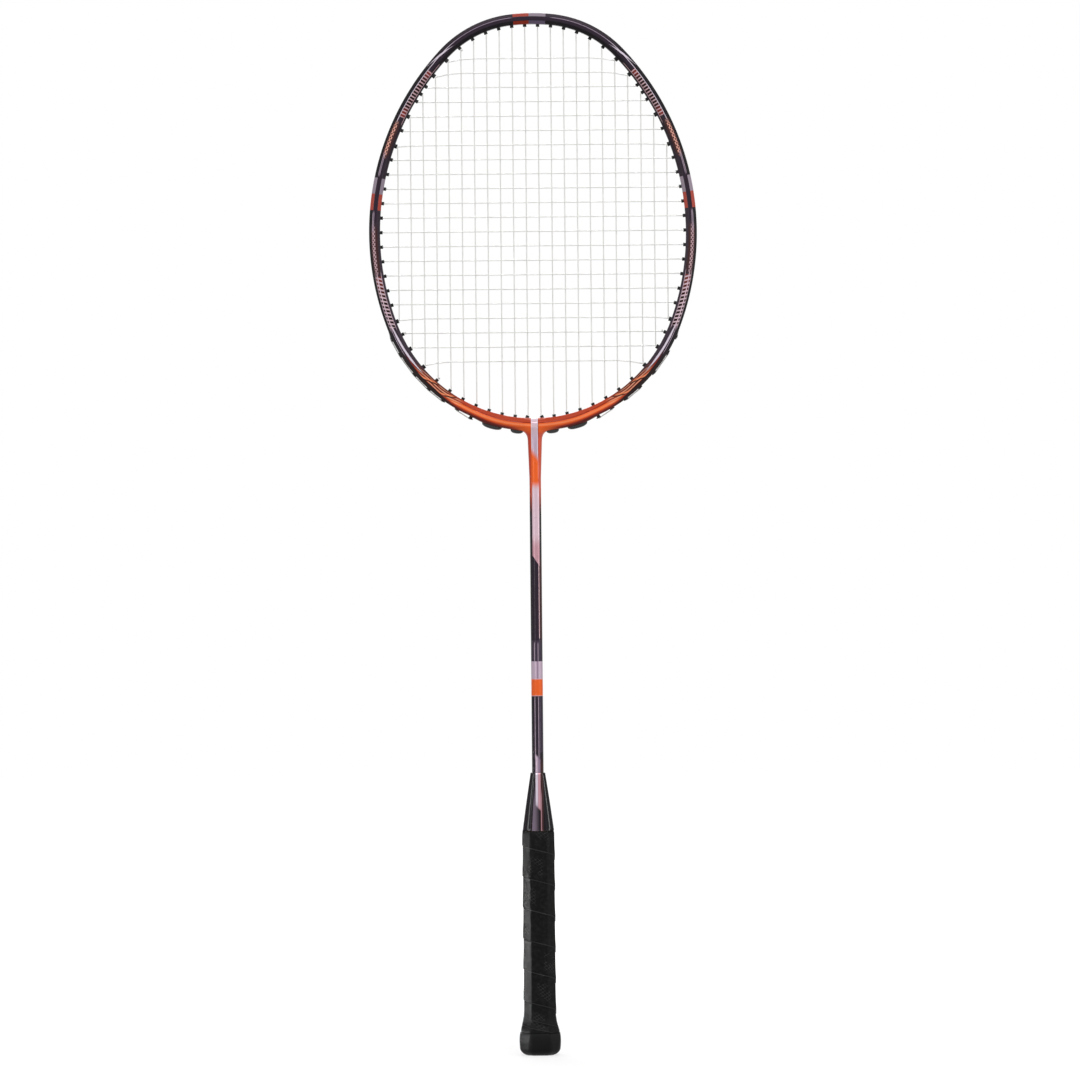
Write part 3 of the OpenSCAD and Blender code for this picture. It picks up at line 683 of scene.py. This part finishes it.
def grip_leather():
    """Soft black strip: fine grain all over and patches of pressed diamond hatching along its middle,
    their ridges drawn lighter as a painted glint.
    """
    s = shaded("grip_leather", Specular_IOR_Level=0.07)
    along, across = s.attribute("along"), s.attribute("across")
    grain = s.noise(2600, 4)
    pores = s.node("TexVoronoi", {"Vector": s.place(), "Scale": 1500})
    patch = across.band(4, 15, 1.2) & (along + 4).ticks(24.4, 0.42, 0.03)
    hatch = along.crossed(across * 1.25, 2.9, 0.2, 0.07) & patch & s.noise(170, 2).step(0.42, 0.56)
    folds = across.line(FOLDS[0], 0.2) | across.line(FOLDS[1], 0.2)
    folds = folds & s.axes()[2].step(FOLDS_TOP, FOLDS_TOP - FOLDS_FADE)
    tone = s.layers(
        s.mix(grey(4), grey(14), grain),
        (grey(22), s.noise(420, 4).step(0.4, 0.7)),
        # Painted glint: the pressed hatching's ridges drawn lighter, over the bump that presses them
        (grey(50), hatch),
        # Lighter along the strip's lower cut edge and its folds: the pale cut edge, and a painted
        # highlight where they catch the light
        (grey(50), across.step(0.9, 0.5) | folds),
    )
    rough = s.blend(0.4, 0.52, s.noise(240, 3))
    height = grain * 0.3 + pores * 0.15 + hatch * 0.9
    return s.paint(Base_Color=tone, Roughness=rough, Normal=s.bump(height, 0.5, 0.0003))


def moulded_black(name, rough, level, dark):
    """Moulded plastic: a fine satin texture and slightly uneven gloss."""
    s = shaded(name, Specular_IOR_Level=level)
    tone = s.mix(srgb(dark, dark, dark + 1), srgb(2 * dark, 2 * dark, 2 * dark + 1), s.noise(160, 4))
    roughness = s.blend(rough - 0.07, rough + 0.09, s.noise(520, 3))
    return s.paint(Base_Color=tone, Roughness=roughness, Normal=s.bump(s.noise(4200, 3), 0.12, 0.0001))


def string_nylon():
    """White coated string: the wound filaments show as a faint twist under the coat."""
    s = shaded("string_nylon", Coat_Weight=0.3, Coat_Roughness=0.15, Specular_IOR_Level=0.4)
    wound = s.attribute("around") + s.attribute("along") * 0.9
    twist = s.math("PINGPONG", wound * 6, 0.5)
    tone = s.mix(srgb(222, 222, 218), srgb(240, 240, 237), twist)
    tone = s.mix(tone, srgb(206, 206, 203), s.noise(900, 2) * 0.35)
    rough = s.blend(0.3, 0.42, twist)
    return s.paint(Base_Color=tone, Roughness=rough, Normal=s.bump(twist, 0.2, 0.00004))


def timber():
    s = shaded("timber", Specular_IOR_Level=0.3)
    waves = {"Vector": s.place((1, 1, 0.06)), "Scale": 160, "Distortion": 5, "Detail": 3}
    tone = s.mix(srgb(196, 160, 112), srgb(150, 108, 66), s.node("TexWave", waves, "Fac"))
    grain = s.noise(900, 5, (1, 1, 0.05))
    tone = s.mix(tone, srgb(120, 84, 50), grain * 0.3)
    rough = s.blend(0.55, 0.7, grain)
    return s.paint(Base_Color=tone, Roughness=rough, Normal=s.bump(grain, 0.25, 0.0002))


def joint_resin():
    s = shaded("joint_resin", Specular_IOR_Level=0.4)
    flow = s.noise(300, 4)
    tone = s.mix(srgb(104, 99, 94), srgb(138, 132, 124), flow)
    grain = s.bump(s.noise(2200, 3), 0.15, 0.0001)
    return s.paint(Base_Color=tone, Roughness=s.blend(0.4, 0.6, flow), Normal=grain)


# The hoop: one section carried round the mid-line. The string groove fades out at the foot of the sides
RING_STEP = 1.1


def hoop_section():
    w, d, f, e = HOOP_W / 2, HOOP_D / 2, HOOP_FLAT / 2, HOOP_EDGE / 2
    mouth, floor, deep = GROOVE_W / 2, GROOVE_W / 2 - 0.3, w - GROOVE_DEPTH
    face, rim, lip, bed = 0.9, 0.45, 0.16, 0.3
    corners = [(-f, -d), (f, -d), (w, -e), (w, -mouth), (deep, -floor), (deep, floor),
               (w, mouth), (w, e), (f, d), (-f, d), (-w, e), (-w, -e)]
    radii = [face, face, rim, lip, bed, bed, lip, rim, face, face, face, face]
    grooved = rounded(corners, radii, 4, 0.03)
    filled = grooved.copy()
    inside = np.abs(grooved[:, 1]) < mouth + 0.18
    filled[inside & (grooved[:, 0] > 0), 0] = w
    return grooved, filled


def build_hoop():
    grooved, filled = hoop_section()
    count = 2 * round(HALF_ROUND / RING_STEP)
    rings, runs, outs = [], [], []
    for i in range(count):
        run = (i / count - 0.5) * 2 * HALF_ROUND
        h = heading_at(abs(run))
        centre, way = placed(side_of(run), hoop_pt(h)), placed(side_of(run), toward(h))
        fill = eased(abs(run), travel(groove_h) - 3, travel(groove_h) + 1)
        section = grooved + (filled - grooved) * fill
        rings.append(stood(centre + section[:, :1] * way, section[:, 1]))
        runs.append(np.full(len(section), run))
        outs.append(filled[:, 0])
    piece("hoop", skin(rings, joined=True), hoop_paint(), "hoop_paint", ["head_hoop"], run=runs, out=outs)


# The throat: hoop and neck flow into each other, so the surface is the level set of a soft union
SADDLE_Z = HOOP_BOTTOM - WRAP_T
NECK_TOP = SADDLE_Z - THROAT_FILLET
NECK_Z = NECK_TOP - NECK_LEN
WRAP_REACH = HALF_ROUND - travel(wrap_h)
WRAP_FADE, WRAP_SINK, WRAP_PAST, NECK_PAST = 15, 0.12, 2, 4


def soft_max(k, *values):
    top = np.maximum.reduce(values)
    return top + k * np.log(sum(np.exp((v - top) / k) for v in values))


def soft_min(a, b, k):
    h = np.clip(0.5 + 0.5 * (b - a) / k, 0, 1)
    return b * (1 - h) + a * h - k * h * (1 - h)


def throat_bounds(p):
    """Each point's place along and across the hoop, and how far in and out the wrap reaches there."""
    x, _, z = p.T
    rise = base_c[1] - z
    reach = BASE_R * np.arctan2(np.abs(x), rise)
    full = 1 - eased(reach, WRAP_REACH - WRAP_FADE, WRAP_REACH)
    sink = WRAP_SINK * (1 - full)
    out = np.hypot(x, rise) - BASE_R
    return reach, out, HOOP_W / 2 + 0.04 * full - sink, HOOP_W / 2 + WRAP_T * full - sink, full, sink


def throat_level(p):
    x, y, z = p.T
    reach, out, inner, outer, full, sink = throat_bounds(p)
    half = (inner + outer) / 2
    u, v = np.abs(out - (outer - inner) / 2), np.abs(y)
    d = HOOP_D / 2 + WRAP_FACE_T * full - sink
    f, e = HOOP_FLAT / 2, HOOP_EDGE / 2
    length = np.hypot(d - e, half - f)
    bevel = ((u - f) * (d - e) + (v - d) * (half - f)) / length
    bar = np.maximum(soft_max(0.3, u - half, v - d, bevel), reach - WRAP_REACH - WRAP_PAST)
    rise = np.clip((z - NECK_Z) / NECK_LEN, -0.15, 1.4)
    radius = SHAFT_D / 2 + 0.015 + (NECK_D - SHAFT_D) / 2 * rise
    post = np.maximum(np.hypot(x, y) - radius, z - base_c[1] + BASE_R)
    return np.maximum(soft_min(bar, post, 2.4 * THROAT_FILLET), NECK_Z - NECK_PAST - z)


def throat_start():
    """Rough bar and post, which the voxels join into one skin."""
    reach = WRAP_REACH + WRAP_PAST
    section = np.array([(-3.6, -4), (0, -6), (4.8, -4), (4.8, 4), (0, 6), (-3.6, 4)])
    bar = []
    for a in np.linspace(-reach, reach, 60) / BASE_R:
        flat = base_c + np.outer(BASE_R + section[:, 0], [math.sin(a), -math.cos(a)])
        bar.append(stood(flat, section[:, 1]))
    profile = [(3.6, NECK_Z - NECK_PAST), (SHAFT_D / 2, NECK_Z), (NECK_D / 2, NECK_TOP)]
    profile += [(7.2, HOOP_BOTTOM), (5, HOOP_BOTTOM + 3)]
    return merged([skin(bar), skin(lathed(profile, 24))])


def remeshed(shape, voxel):
    rough = meshed("rough", shape)
    work = added("rough", rough)
    change = work.modifiers.new("voxels", "REMESH")
    change.mode, change.voxel_size = "VOXEL", voxel * MM
    shown = work.evaluated_get(bpy.context.evaluated_depsgraph_get()).to_mesh()
    points = np.array([v.co for v in shown.vertices]) / MM
    polygons = [tuple(p.vertices) for p in shown.polygons]
    bpy.data.objects.remove(work)
    bpy.data.meshes.remove(rough)
    return points, polygons


def drawn_to(points, level, rounds=12, eps=0.02):
    """Moves points onto the surface where level is 0."""
    for _ in range(rounds):
        value = level(points)
        changes = [level(points + axis) - level(points - axis) for axis in np.eye(3) * eps]
        slope = np.stack(changes, 1) / (2 * eps)
        size = np.maximum((slope ** 2).sum(1), 0.05)
        points = points - np.clip(value / size, -0.5, 0.5)[:, None] * slope
    return points


def build_throat():
    points, faces = remeshed(throat_start(), 0.45)
    points = drawn_to(points, throat_level)
    reach, out = throat_bounds(points)[:2]
    piece("throat", (points, faces), throat_paint(), "throat_paint", ["throat_wrap"],
          run=HALF_ROUND - reach, out=np.clip(out, -5, 5))


# The shaft, turned with a fine bevel at its foot and its top
def lathed(profile, sides, origin=(0, 0), way=(0, 1)):
    """A profile of (radius, along) turned about a line in the plane of the strings."""
    turn = turns(sides)
    side = np.array([way[1], -way[0]])
    rings = []
    for r, along in profile:
        flat = np.array(origin) + along * np.array(way) + np.outer(r * np.cos(turn), side)
        rings.append(stood(flat, r * np.sin(turn)))
    return rings


def build_shaft():
    r = SHAFT_D / 2
    profile = [(r - 0.4, SHAFT_FOOT), (r, SHAFT_FOOT + 0.4)]
    profile += [(r, z) for z in np.linspace(SHAFT_FOOT + 1, NECK_Z, 60)]
    profile += [(r - 0.2, NECK_Z + 2), (r - 0.6, NECK_Z + 6)]
    piece("shaft_tube", skin(lathed(profile, 64)), shaft_paint(), "shaft_paint", ["shaft"])


# Eight-sided outlines of the handle
BEVEL_K = GRIP_D / 2 + GRIP_FACET / 2


def octagon(a, b, k):
    right = [(k - b, -b), (a, a - k), (a, k - a), (k - b, b)]
    return right + [(-x, y) for x, y in reversed(right)]


def handle_oct(inset):
    return octagon(GRIP_W / 2 - inset, GRIP_D / 2 - inset, BEVEL_K - inset * math.sqrt(2))


def flare(z):
    if z >= FLARE_H:
        return 0
    if z >= BELLY_H:
        return FLARE_W * (1 - math.cos(math.pi * (FLARE_H - z) / (FLARE_H - BELLY_H))) / 2
    return FLARE_W - BELLY_IN * ((BELLY_H - z) / BELLY_H) ** 2


def crowned(outline, parts, rise):
    """The outline with its long sides divided and bowed out by a share of their length."""
    points = []
    for a, b in zip(outline, np.roll(outline, -1, 0)):
        points.append(a)
        span = b - a
        if np.linalg.norm(span) > 0.8:
            out = np.array([span[1], -span[0]])
            for t in np.arange(1, parts) / parts:
                points.append(a + span * t + out * 4 * rise * t * (1 - t))
    return np.array(points)


def lifted(outline, z):
    return np.column_stack([outline, np.full(len(outline), z)])


def build_cone():
    inward = np.array([1, 1, math.sqrt(2)])
    foot = np.array([GRIP_W / 2, GRIP_D / 2, BEVEL_K]) - CONE_STEP * inward
    top = inward * CONE_TOP / 2
    bore, swell, corner = SHAFT_D / 2 + 0.02, 0.12, 0.45

    def ring(t, inset, z, radius):
        size = foot + (top - foot) * t + inward * (swell * math.sin(math.pi * t) - inset)
        return lifted(crowned(rounded(octagon(*size), radius, 4, 0.06), 6, 0.02), z)

    rings = [ring(0, inset, CONE_FOOT, 0.4) for inset in (1.6, 0.35)]
    rings.append(ring(0, 0, CONE_FOOT + 0.3, corner))
    for t in np.linspace(0.02, 0.985, 26):
        rings.append(ring(t, 0, CONE_FOOT + t * CONE_LEN, corner + 0.25 * t))
    rings += [ring(t, inset, CONE_FOOT + t * CONE_LEN, 0.8) for t, inset in ((0.995, 0.08), (1, 0.3))]
    round_in = unit(rings[-1][:, :2]) * bore
    rings += [lifted(round_in, CONE_FOOT + CONE_LEN - sink) for sink in (0, 3)]
    piece("cone", skin(rings), cone_plastic(), "cone_plastic", ["cone_cap"], crease=50)


def build_butt():
    round_corner, sharper = 5.8, 3.6

    def ring(inset, z, soft=0):
        corner = round_corner - sharper * eased(z, 5, CAP_H) - soft
        return lifted(rounded(handle_oct(inset - flare(z)), corner, 6, 0.1), z)

    rings = [lifted(rounded(handle_oct(BUTT_ROUND_W + 3), 0.8, 6, 0.1), 0)]
    for a in np.radians(np.linspace(0, 82.5, 12)):
        left = 1 - math.sin(a)
        rings.append(ring(BUTT_ROUND_W * left, BUTT_ROUND_H * (1 - math.cos(a)), 4.2 * left))
    rings += [ring(0, z) for z in np.linspace(BUTT_ROUND_H, CAP_H - 0.5, 20)]
    for inset, rise in ((0.06, -0.25), (0.2, -0.08), (0.45, 0), (2.4, 0), (2.4, 4)):
        rings.append(ring(inset, CAP_H + rise, 0.6 * inset))
    plastic = moulded_black("butt_plastic", 0.46, 0.1, 7)
    piece("butt", skin(rings), plastic, "butt_plastic", ["butt_cap"], crease=60)


# The grip: one strip wound up the handle, each turn lying on the edge of the turn below
STRIP_PITCH, STRIP_LAP = 20, 1.6
SEAM_Z = 14.8
# Way up the strip's outer face from its lower edge, how proud it stands, and its folds near the butt
STRIP_PROFILE = np.array([
    (0, -0.7, 0), (0.05, -0.3, 0), (0.18, 0, 0), (0.42, 0.2, 0), (0.9, 0.28, 0), (1.8, 0.26, 0),
    (3.5, 0.14, 0), (4.1, 0.1, 0), (4.3, 0.09, 0.3), (5.2, 0.04, 0.26), (6.6, -0.02, 0.06),
    (9, -0.08, 0), (9.2, -0.08, 0.3), (10.1, -0.1, 0.26), (12, -0.12, 0.05), (15, -0.15, 0),
    (18, -0.17, 0), (20.2, -0.22, 0), (21.6, -0.3, 0),
])
FOLDS, FOLDS_TOP, FOLDS_FADE = (4.3, 9.2), 26, 4
STRIP_BACK = -0.8 * GRIP_T


def strip_ring(at, foot):
    """The strip's section over a point of the outline, level at the grip's ends, and its way up."""
    way_up, proud, fold = STRIP_PROFILE.T
    low, high = max(GRIP_FOOT - foot, 0), min(GRIP_HEAD - foot, way_up[-1])
    across = np.clip(way_up, low, high)
    fade = 1 - eased(foot + across, FOLDS_TOP - FOLDS_FADE, FOLDS_TOP)
    lift = np.interp(across, way_up, proud) + np.interp(across, way_up, fold) * fade
    # Where the strip is cut down, its back lies a hair deeper, clear of the turn over it
    back = STRIP_BACK - 0.002 * (low + way_up[-1] - high)
    # Points beyond an end share out its level face
    below, above = np.sum(way_up < low), np.sum(way_up > high)
    lift[:below] = back + (lift[:below] - back) * np.arange(1, below + 1) / (below + 1)
    last = len(lift) - above
    lift[last:] = back + (lift[last:] - back) * np.arange(above, 0, -1) / (above + 1)
    lift, across = np.append(lift, [back] * 2), np.append(across, [high, low])
    z = foot + across
    reach = lift + 1.04 * np.array([flare(one) for one in z])
    return np.column_stack([at + np.outer(reach, unit(at)), z]), across


def build_grip():
    outline = rounded(handle_oct(0), 1.7, 5, 0.12)
    steps = np.linalg.norm(np.roll(outline, -1, 0) - outline, axis=1)
    girth = steps.sum()
    # Share of the way round from the middle of the front
    share = (np.concatenate([[0], np.cumsum(steps)[:-1]]) + GRIP_FACET / 2) / girth - 0.5 / len(outline)
    start = -(GRIP_FACET / 2 + (GRIP_W - GRIP_FACET) / 4 * math.sqrt(2)) / girth
    rings, alongs, acrosses = [], [], []
    for turn in range(-1, math.ceil(GRIP_HEAD / STRIP_PITCH) + 1):
        for j in reversed(range(len(outline))):
            foot = SEAM_Z + (turn + start - share[j]) * STRIP_PITCH
            if GRIP_FOOT - STRIP_PITCH - STRIP_LAP < foot < GRIP_HEAD:
                ring, across = strip_ring(outline[j], foot)
                rings.append(ring)
                alongs.append(np.full(len(across), (turn - share[j]) * girth))
                acrosses.append(across)
    piece("grip", skin(rings), grip_leather(), "grip_leather", ["grip_wrap"], crease=65,
          along=alongs, across=acrosses)


# Strings: two unbroken tubes, woven over and under each other
CROSS_Y = (STRING_D + LAYER_GAP) / 2
MAIN_Y = -CROSS_Y
WEAVE = STRING_D / 2 + 0.01
TUBE_SIDES = 8


def woven(keys, gap=1.5):
    """A smooth way through (x, y, z) points, easing from front to back between them."""
    keys = np.array(keys)
    points = [keys[0]]
    for a, b in zip(keys[:-1], keys[1:]):
        count = max(1, round(np.linalg.norm(b - a) / gap))
        for t in np.arange(1, count + 1) / count:
            p = a + (b - a) * t
            p[1] = a[1] + (b[1] - a[1]) * (1 - math.cos(math.pi * t)) / 2
            points.append(p)
    return points


def spot(side, p, y):
    return side * p[0], y, p[1]


def loop_key(side, h, y):
    """Where the string turns outside the hoop, over a head."""
    return spot(side, seat_pt(h) + LOOP_OFF * hole_dir(h), y)


def tail_keys(side, h, tie_h, y):
    """The string's end, from its last hole to the hole where it is tied."""
    return [loop_key(side, h, y), loop_key(side, tie_h, y), spot(side, bend_pt(tie_h), y)]


def closest(headings, h):
    return min(headings, key=lambda m: abs(travel(m) - travel(h)))


def alternate(n):
    return 1 if n % 2 == 0 else -1


columns = [-x for x in reversed(main_x)] + main_x
main_tail_h = main_top_h[-1] if MAIN_N % 2 == 0 else main_low_h[-1]
main_tie_h = closest(lone_cross_h, main_tail_h)
first_tie_h, last_tie_h = [closest(lone_main_h, cross_h[j]) for j in (0, -1)]


def cross_level(j, x):
    """Height of a cross string at x: level in the middle, easing to its hole at the ends."""
    end = bend_pt(cross_h[j])
    t = np.clip((abs(x) - end[0] + CROSS_EASE) / CROSS_EASE, 0, 1)
    return cross_z[j] + (end[1] - cross_z[j]) * t


def main_keys(column):
    """A main string from its lower bend to its upper one, through its crossings."""
    x = columns[column]
    n = main_x.index(abs(x))
    low, top = [spot(side_of(x), bend_pt(ends[n]), MAIN_Y) for ends in (main_low_h, main_top_h)]
    keys = [low]
    for j in reversed(range(CROSS_N)):
        if abs(x) < bend_pt(cross_h[j])[0] - 1:
            keys.append((x, -WEAVE * alternate(column + j), cross_level(j, x)))
    return keys + [top]


def cross_keys(j):
    """A cross string from its left bend to its right one."""
    end = bend_pt(cross_h[j])
    keys = [spot(-1, end, CROSS_Y)]
    for column, x in enumerate(columns):
        if abs(x) < end[0] - 1:
            keys.append((x, WEAVE * alternate(column + j), cross_level(j, x)))
    return keys + [spot(1, end, CROSS_Y)]


def main_route():
    keys = tail_keys(-1, main_tail_h, main_tie_h, MAIN_Y)[::-1]
    for column, x in enumerate(columns):
        way = -alternate(column + MAIN_N)
        keys += main_keys(column)[::way]
        if x < columns[-1]:
            ends = main_top_h if way > 0 else main_low_h
            for at in columns[column:column + 2]:
                keys.append(loop_key(side_of(at), ends[main_x.index(abs(at))], MAIN_Y))
    return keys + tail_keys(1, main_tail_h, main_tie_h, MAIN_Y)


def cross_route():
    keys = tail_keys(-1, cross_h[0], first_tie_h, CROSS_Y)[::-1]
    for j in range(CROSS_N):
        keys += cross_keys(j)[::alternate(j)]
        if j < CROSS_N - 1:
            keys += [loop_key(alternate(j), h, CROSS_Y) for h in cross_h[j:j + 2]]
    return keys + tail_keys(alternate(j), cross_h[-1], last_tie_h, CROSS_Y)


def ringed(points, side, up, diameter):
    """A round ring about each point, spanned by two directions."""
    ways = [math.cos(a) * side + math.sin(a) * up for a in turns(TUBE_SIDES)]
    return np.stack([points + diameter / 2 * way for way in ways], 1)


def tube(points):
    """Rings of a string, mitred in the strings' plane, and the ways along and around it."""
    points = np.array(points)
    span = np.diff(points, axis=0)
    step = unit(span)
    back, ahead = np.vstack([step[:1], step]), np.vstack([step, step[-1:]])
    way = unit(back + ahead)
    wide = 1 / np.maximum(0.6, (way * ahead).sum(1))
    side = unit(np.cross(way, [0, 1, 0]))
    rings = ringed(points, wide[:, None] * side, np.cross(side, way), STRING_D)
    along = np.concatenate([[0], np.cumsum(np.linalg.norm(span, axis=1))])
    around = np.tile(np.arange(TUBE_SIDES) / TUBE_SIDES, (len(points), 1))
    return rings, np.repeat(along[:, None], TUBE_SIDES, 1), around


def build_strings(nylon):
    rows = {"mains": (main_route(), "main_string"), "crosses": (cross_route(), "cross_string")}
    for name, (route, node) in rows.items():
        rings, along, around = tube(woven(route))
        piece(name, skin(rings), nylon, "string", [node], along=along, around=around)


# Knots: a small trefoil of string drawn up against its grommet
KNOT_SIZE = 0.24
KNOT_STRING = 0.56


def knot(side, h, y):
    out = hole_dir(h)
    centre = placed(side, bend_pt(h) - out * 0.55)
    way, flat = placed(side, out), placed(side, (out[1], -out[0]))
    t = turns(60)
    swing, rise = (2 + np.cos(3 * t)) * KNOT_SIZE, np.sin(3 * t) * KNOT_SIZE * 1.6
    plan = centre + np.outer(swing * np.cos(2 * t), flat) + np.outer(rise, way)
    points = stood(plan, y + math.copysign(0.45, y) + swing * np.sin(2 * t))
    ahead = unit(np.roll(points, -1, 0) - np.roll(points, 1, 0))
    across = unit(np.cross(ahead, points - points.mean(0)))
    return skin(ringed(points, across, np.cross(across, ahead), KNOT_STRING), joined=True)


def build_knots(nylon):
    last_side = alternate(CROSS_N - 1)
    rows = {
        "main_ties": ("main_knots", MAIN_Y, ((-1, main_tie_h), (1, main_tie_h))),
        "cross_ties": ("cross_knots", CROSS_Y, ((-1, first_tie_h), (last_side, last_tie_h))),
    }
    for name, (node, y, ties) in rows.items():
        shape = merged([knot(side, h, y) for side, h in ties])
        count = np.arange(len(shape[0]))
        along, around = count // TUBE_SIDES * 0.1, count % TUBE_SIDES / TUBE_SIDES
        piece(name, shape, nylon, "string", [node], along=along, around=around)


# Grommets: flared tip inside the hoop, barrel through it and a domed head outside
GROMMET_SIDES = 24


def grommet(side, h, headed=True):
    lone, shared = (GROMMET_D, GROMMET_BORE, HEAD_D), (SHARED_D, SHARED_BORE, SHARED_HEAD_D)
    barrel, bore, head = [size / 2 for size in (shared if near(shared_h, h) else lone)]
    tip, top = TURN_PLAY - hole_len(h), FIT + HEAD_T
    profile = [(bore, tip + 0.3), (bore + 0.06, tip + 0.08), (bore + 0.16, tip), (barrel - 0.1, tip),
               (barrel - 0.01, tip + 0.1), (barrel, tip + 0.3), (barrel - 0.06, tip + 0.55),
               (barrel - 0.08, tip + 1.2), (barrel - 0.05, FIT)]
    if headed:
        profile += [(head - 0.12, FIT), (head, FIT + 0.12), (head, top - 0.3), (head - 0.1, top - 0.1),
                    (head - 0.32, top), (bore + 0.3, top), (bore + 0.08, top - 0.07), (bore, top - 0.25)]
    else:
        profile.append((bore, FIT))
    rings = lathed(profile, GROMMET_SIDES, placed(side, seat_pt(h)), placed(side, hole_dir(h)))
    return skin(rings, joined=True)


def build_grommets(plastic):
    lone_top = [h for h in main_top_h if h in lone_main_h]
    lone_low = [h for h in main_low_h[4:] if h in lone_main_h]
    rows = {
        "top_grommets": ("grommets_top", (-1, 1), lone_top),
        "bottom_grommets": ("grommets_bottom", (-1, 1), lone_low),
        "left_grommets": ("grommets_left", (-1,), lone_cross_h),
        "right_grommets": ("grommets_right", (1,), lone_cross_h),
        "left_shared_grommets": ("shared_grommets_left", (-1,), shared_h),
        "right_shared_grommets": ("shared_grommets_right", (1,), shared_h),
    }
    for name, (node, sides, headings) in rows.items():
        shape = merged([grommet(side, h) for side in sides for h in headings])
        piece(name, shape, plastic, "grommet_plastic", [node], crease=40)


# Bridge sleeves: swollen strips over the strings between pairs of mains under the throat
def bridge(side, number):
    h_in, h_out = main_low_h[number - 1], main_low_h[number]
    end = math.degrees(BRIDGE_END / BASE_R)
    first, last = out_h(h_out) - end, out_h(h_in) + end
    seat = HOOP_W / 2 + WRAP_T + FIT
    # Round over the top, and three points across its sunk underside
    around = np.linspace(0, math.pi, 15)
    top, across = np.sin(around[1:-1]) ** 0.75, np.append(np.cos(around), [-0.8, 0, 0.8])
    rings = []
    for t in np.linspace(-1, 1, 41):
        swell = math.sqrt(1 - abs(t) ** 2.6)
        high = max(0.12, BRIDGE_T * swell ** 0.9)
        wide = BRIDGE_W / 2 * (0.62 + 0.38 * swell)
        lift = np.concatenate([[0], high * top, [0], [-0.3] * 3])
        way = placed(side, toward((first + last) / 2 + (last - first) / 2 * t))
        rings.append(stood(base_c + np.outer(BASE_R + seat + lift, way), wide * across))
    return merged([skin(rings), grommet(side, h_in, False), grommet(side, h_out, False)])


def build_bridges(plastic):
    for side, word in ((-1, "left"), (1, "right")):
        for number, place in ((1, "inner"), (3, "outer")):
            name, shape = f"{word}_{place}", bridge(side, number)
            piece(f"sleeve_{name}", shape, plastic, "grommet_plastic", [f"bridge_{name}"], crease=60)


# Solids that keep their own shape take a finish
def dress(node, material):
    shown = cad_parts[node]
    shown.data.materials.clear()
    shown.data.materials.append(material)


# Stage: a pale floor that fades into a white surround, and soft light from before, behind and both sides
FLOOR_SIZE, FLOOR_Z = 12, -0.0001
LIT_DIFFUSE = 0.38


def build_floor():
    s = shaded("floor_white", Specular_IOR_Level=0, Roughness=0.9)
    far = s.node("VectorMath", {0: s.place()}, "Value", operation="LENGTH")
    colour = s.mix(grey(150), grey(154), s.noise(60, 3))
    glow = s.seen_rays() * s.blend(0.7, 0.95, far.step(0.15, 0.9))
    s.paint(Base_Color=colour, Emission_Color=WHITE, Emission_Strength=glow)
    half = FLOOR_SIZE / 2
    mesh = bpy.data.meshes.new("floor")
    corners = [(-half, -half), (half, -half), (half, half), (-half, half)]
    mesh.from_pydata([(*corner, FLOOR_Z) for corner in corners], [], [(0, 1, 2, 3)])
    mesh.materials.append(s.owner)
    floor = added("floor", mesh)


def build_world():
    world = bpy.data.worlds.new("surround")
    bpy.context.scene.world = world
    s = Shade(world, "Background", Color=WHITE)
    s.paint(Strength=s.seen_rays() * (1 - LIT_DIFFUSE) + LIT_DIFFUSE)


def softbox(name, place, target, size, watts, spread=180):
    light = bpy.data.lights.new(name, "AREA")
    light.spread = math.radians(spread)
    light.shape = "RECTANGLE"
    light.size, light.size_y = size
    light.energy = watts
    lamp = added(name, light)
    lamp.location = place
    aim = Vector(target) - Vector(place)
    lamp.rotation_euler = aim.to_track_quat("-Z", "Y").to_euler()


def build_lights():
    softbox("front_softbox", (0.3, -2.4, 2.2), (0, 0, 0.4), (1.5, 1), 42)
    softbox("back_softbox", (-0.3, 2.4, 2.2), (0, 0, 0.4), (1.5, 1), 52)
    softbox("left_panel", (-0.88, -1.46, 0.35), (0, 0, 0.35), (0.2, 0.9), 5)
    softbox("right_panel", (1.47, -0.85, 0.35), (0, 0, 0.35), (0.2, 0.9), 5)
    softbox("left_strip", (-1.7, -0.05, 0.62), (0, 0, 0.3), (0.05, 0.8), 1.6)
    softbox("right_strip", (1.7, 0.02, 0.62), (0, 0, 0.3), (0.05, 0.8), 1.8)
    softbox("handle_light", (-1.1, -0.05, 0.07), (0, 0, 0.07), (0.3, 0.14), 0.2, 10)


# Camera: square on to the string bed from far off, rolled by the racket's slight lean in the photograph
CAMERA_FAR = 5
PHOTO_PIXELS = 1080
PIXEL_MM = 0.6481
PHOTO_LEAN = 0.52
AIM_X, AIM_Z = 2.75, 333.6


def build_camera():
    data = bpy.data.cameras.new("camera")
    data.sensor_width = 36
    data.lens = data.sensor_width * CAMERA_FAR / (PHOTO_PIXELS * PIXEL_MM * MM)
    data.clip_end = 100
    camera = added("camera", data)
    camera.location = (AIM_X * MM, -CAMERA_FAR, AIM_Z * MM)
    camera.rotation_euler = (math.pi / 2, math.radians(PHOTO_LEAN), 0)
    bpy.context.scene.camera = camera


build_camera()
build_world()
build_lights()
build_floor()
build_hoop()
build_throat()
build_shaft()
build_cone()
build_grip()
build_butt()
nylon = string_nylon()
build_strings(nylon)
build_knots(nylon)
build_grommets(moulded_black("grommet_plastic", 0.34, 0.2, 11))
build_bridges(moulded_black("sleeve_plastic", 0.2, 0.4, 14))
dress("handle_core", timber())
dress("t_joint", joint_resin())

bpy.context.scene.view_settings.view_transform = "Standard"
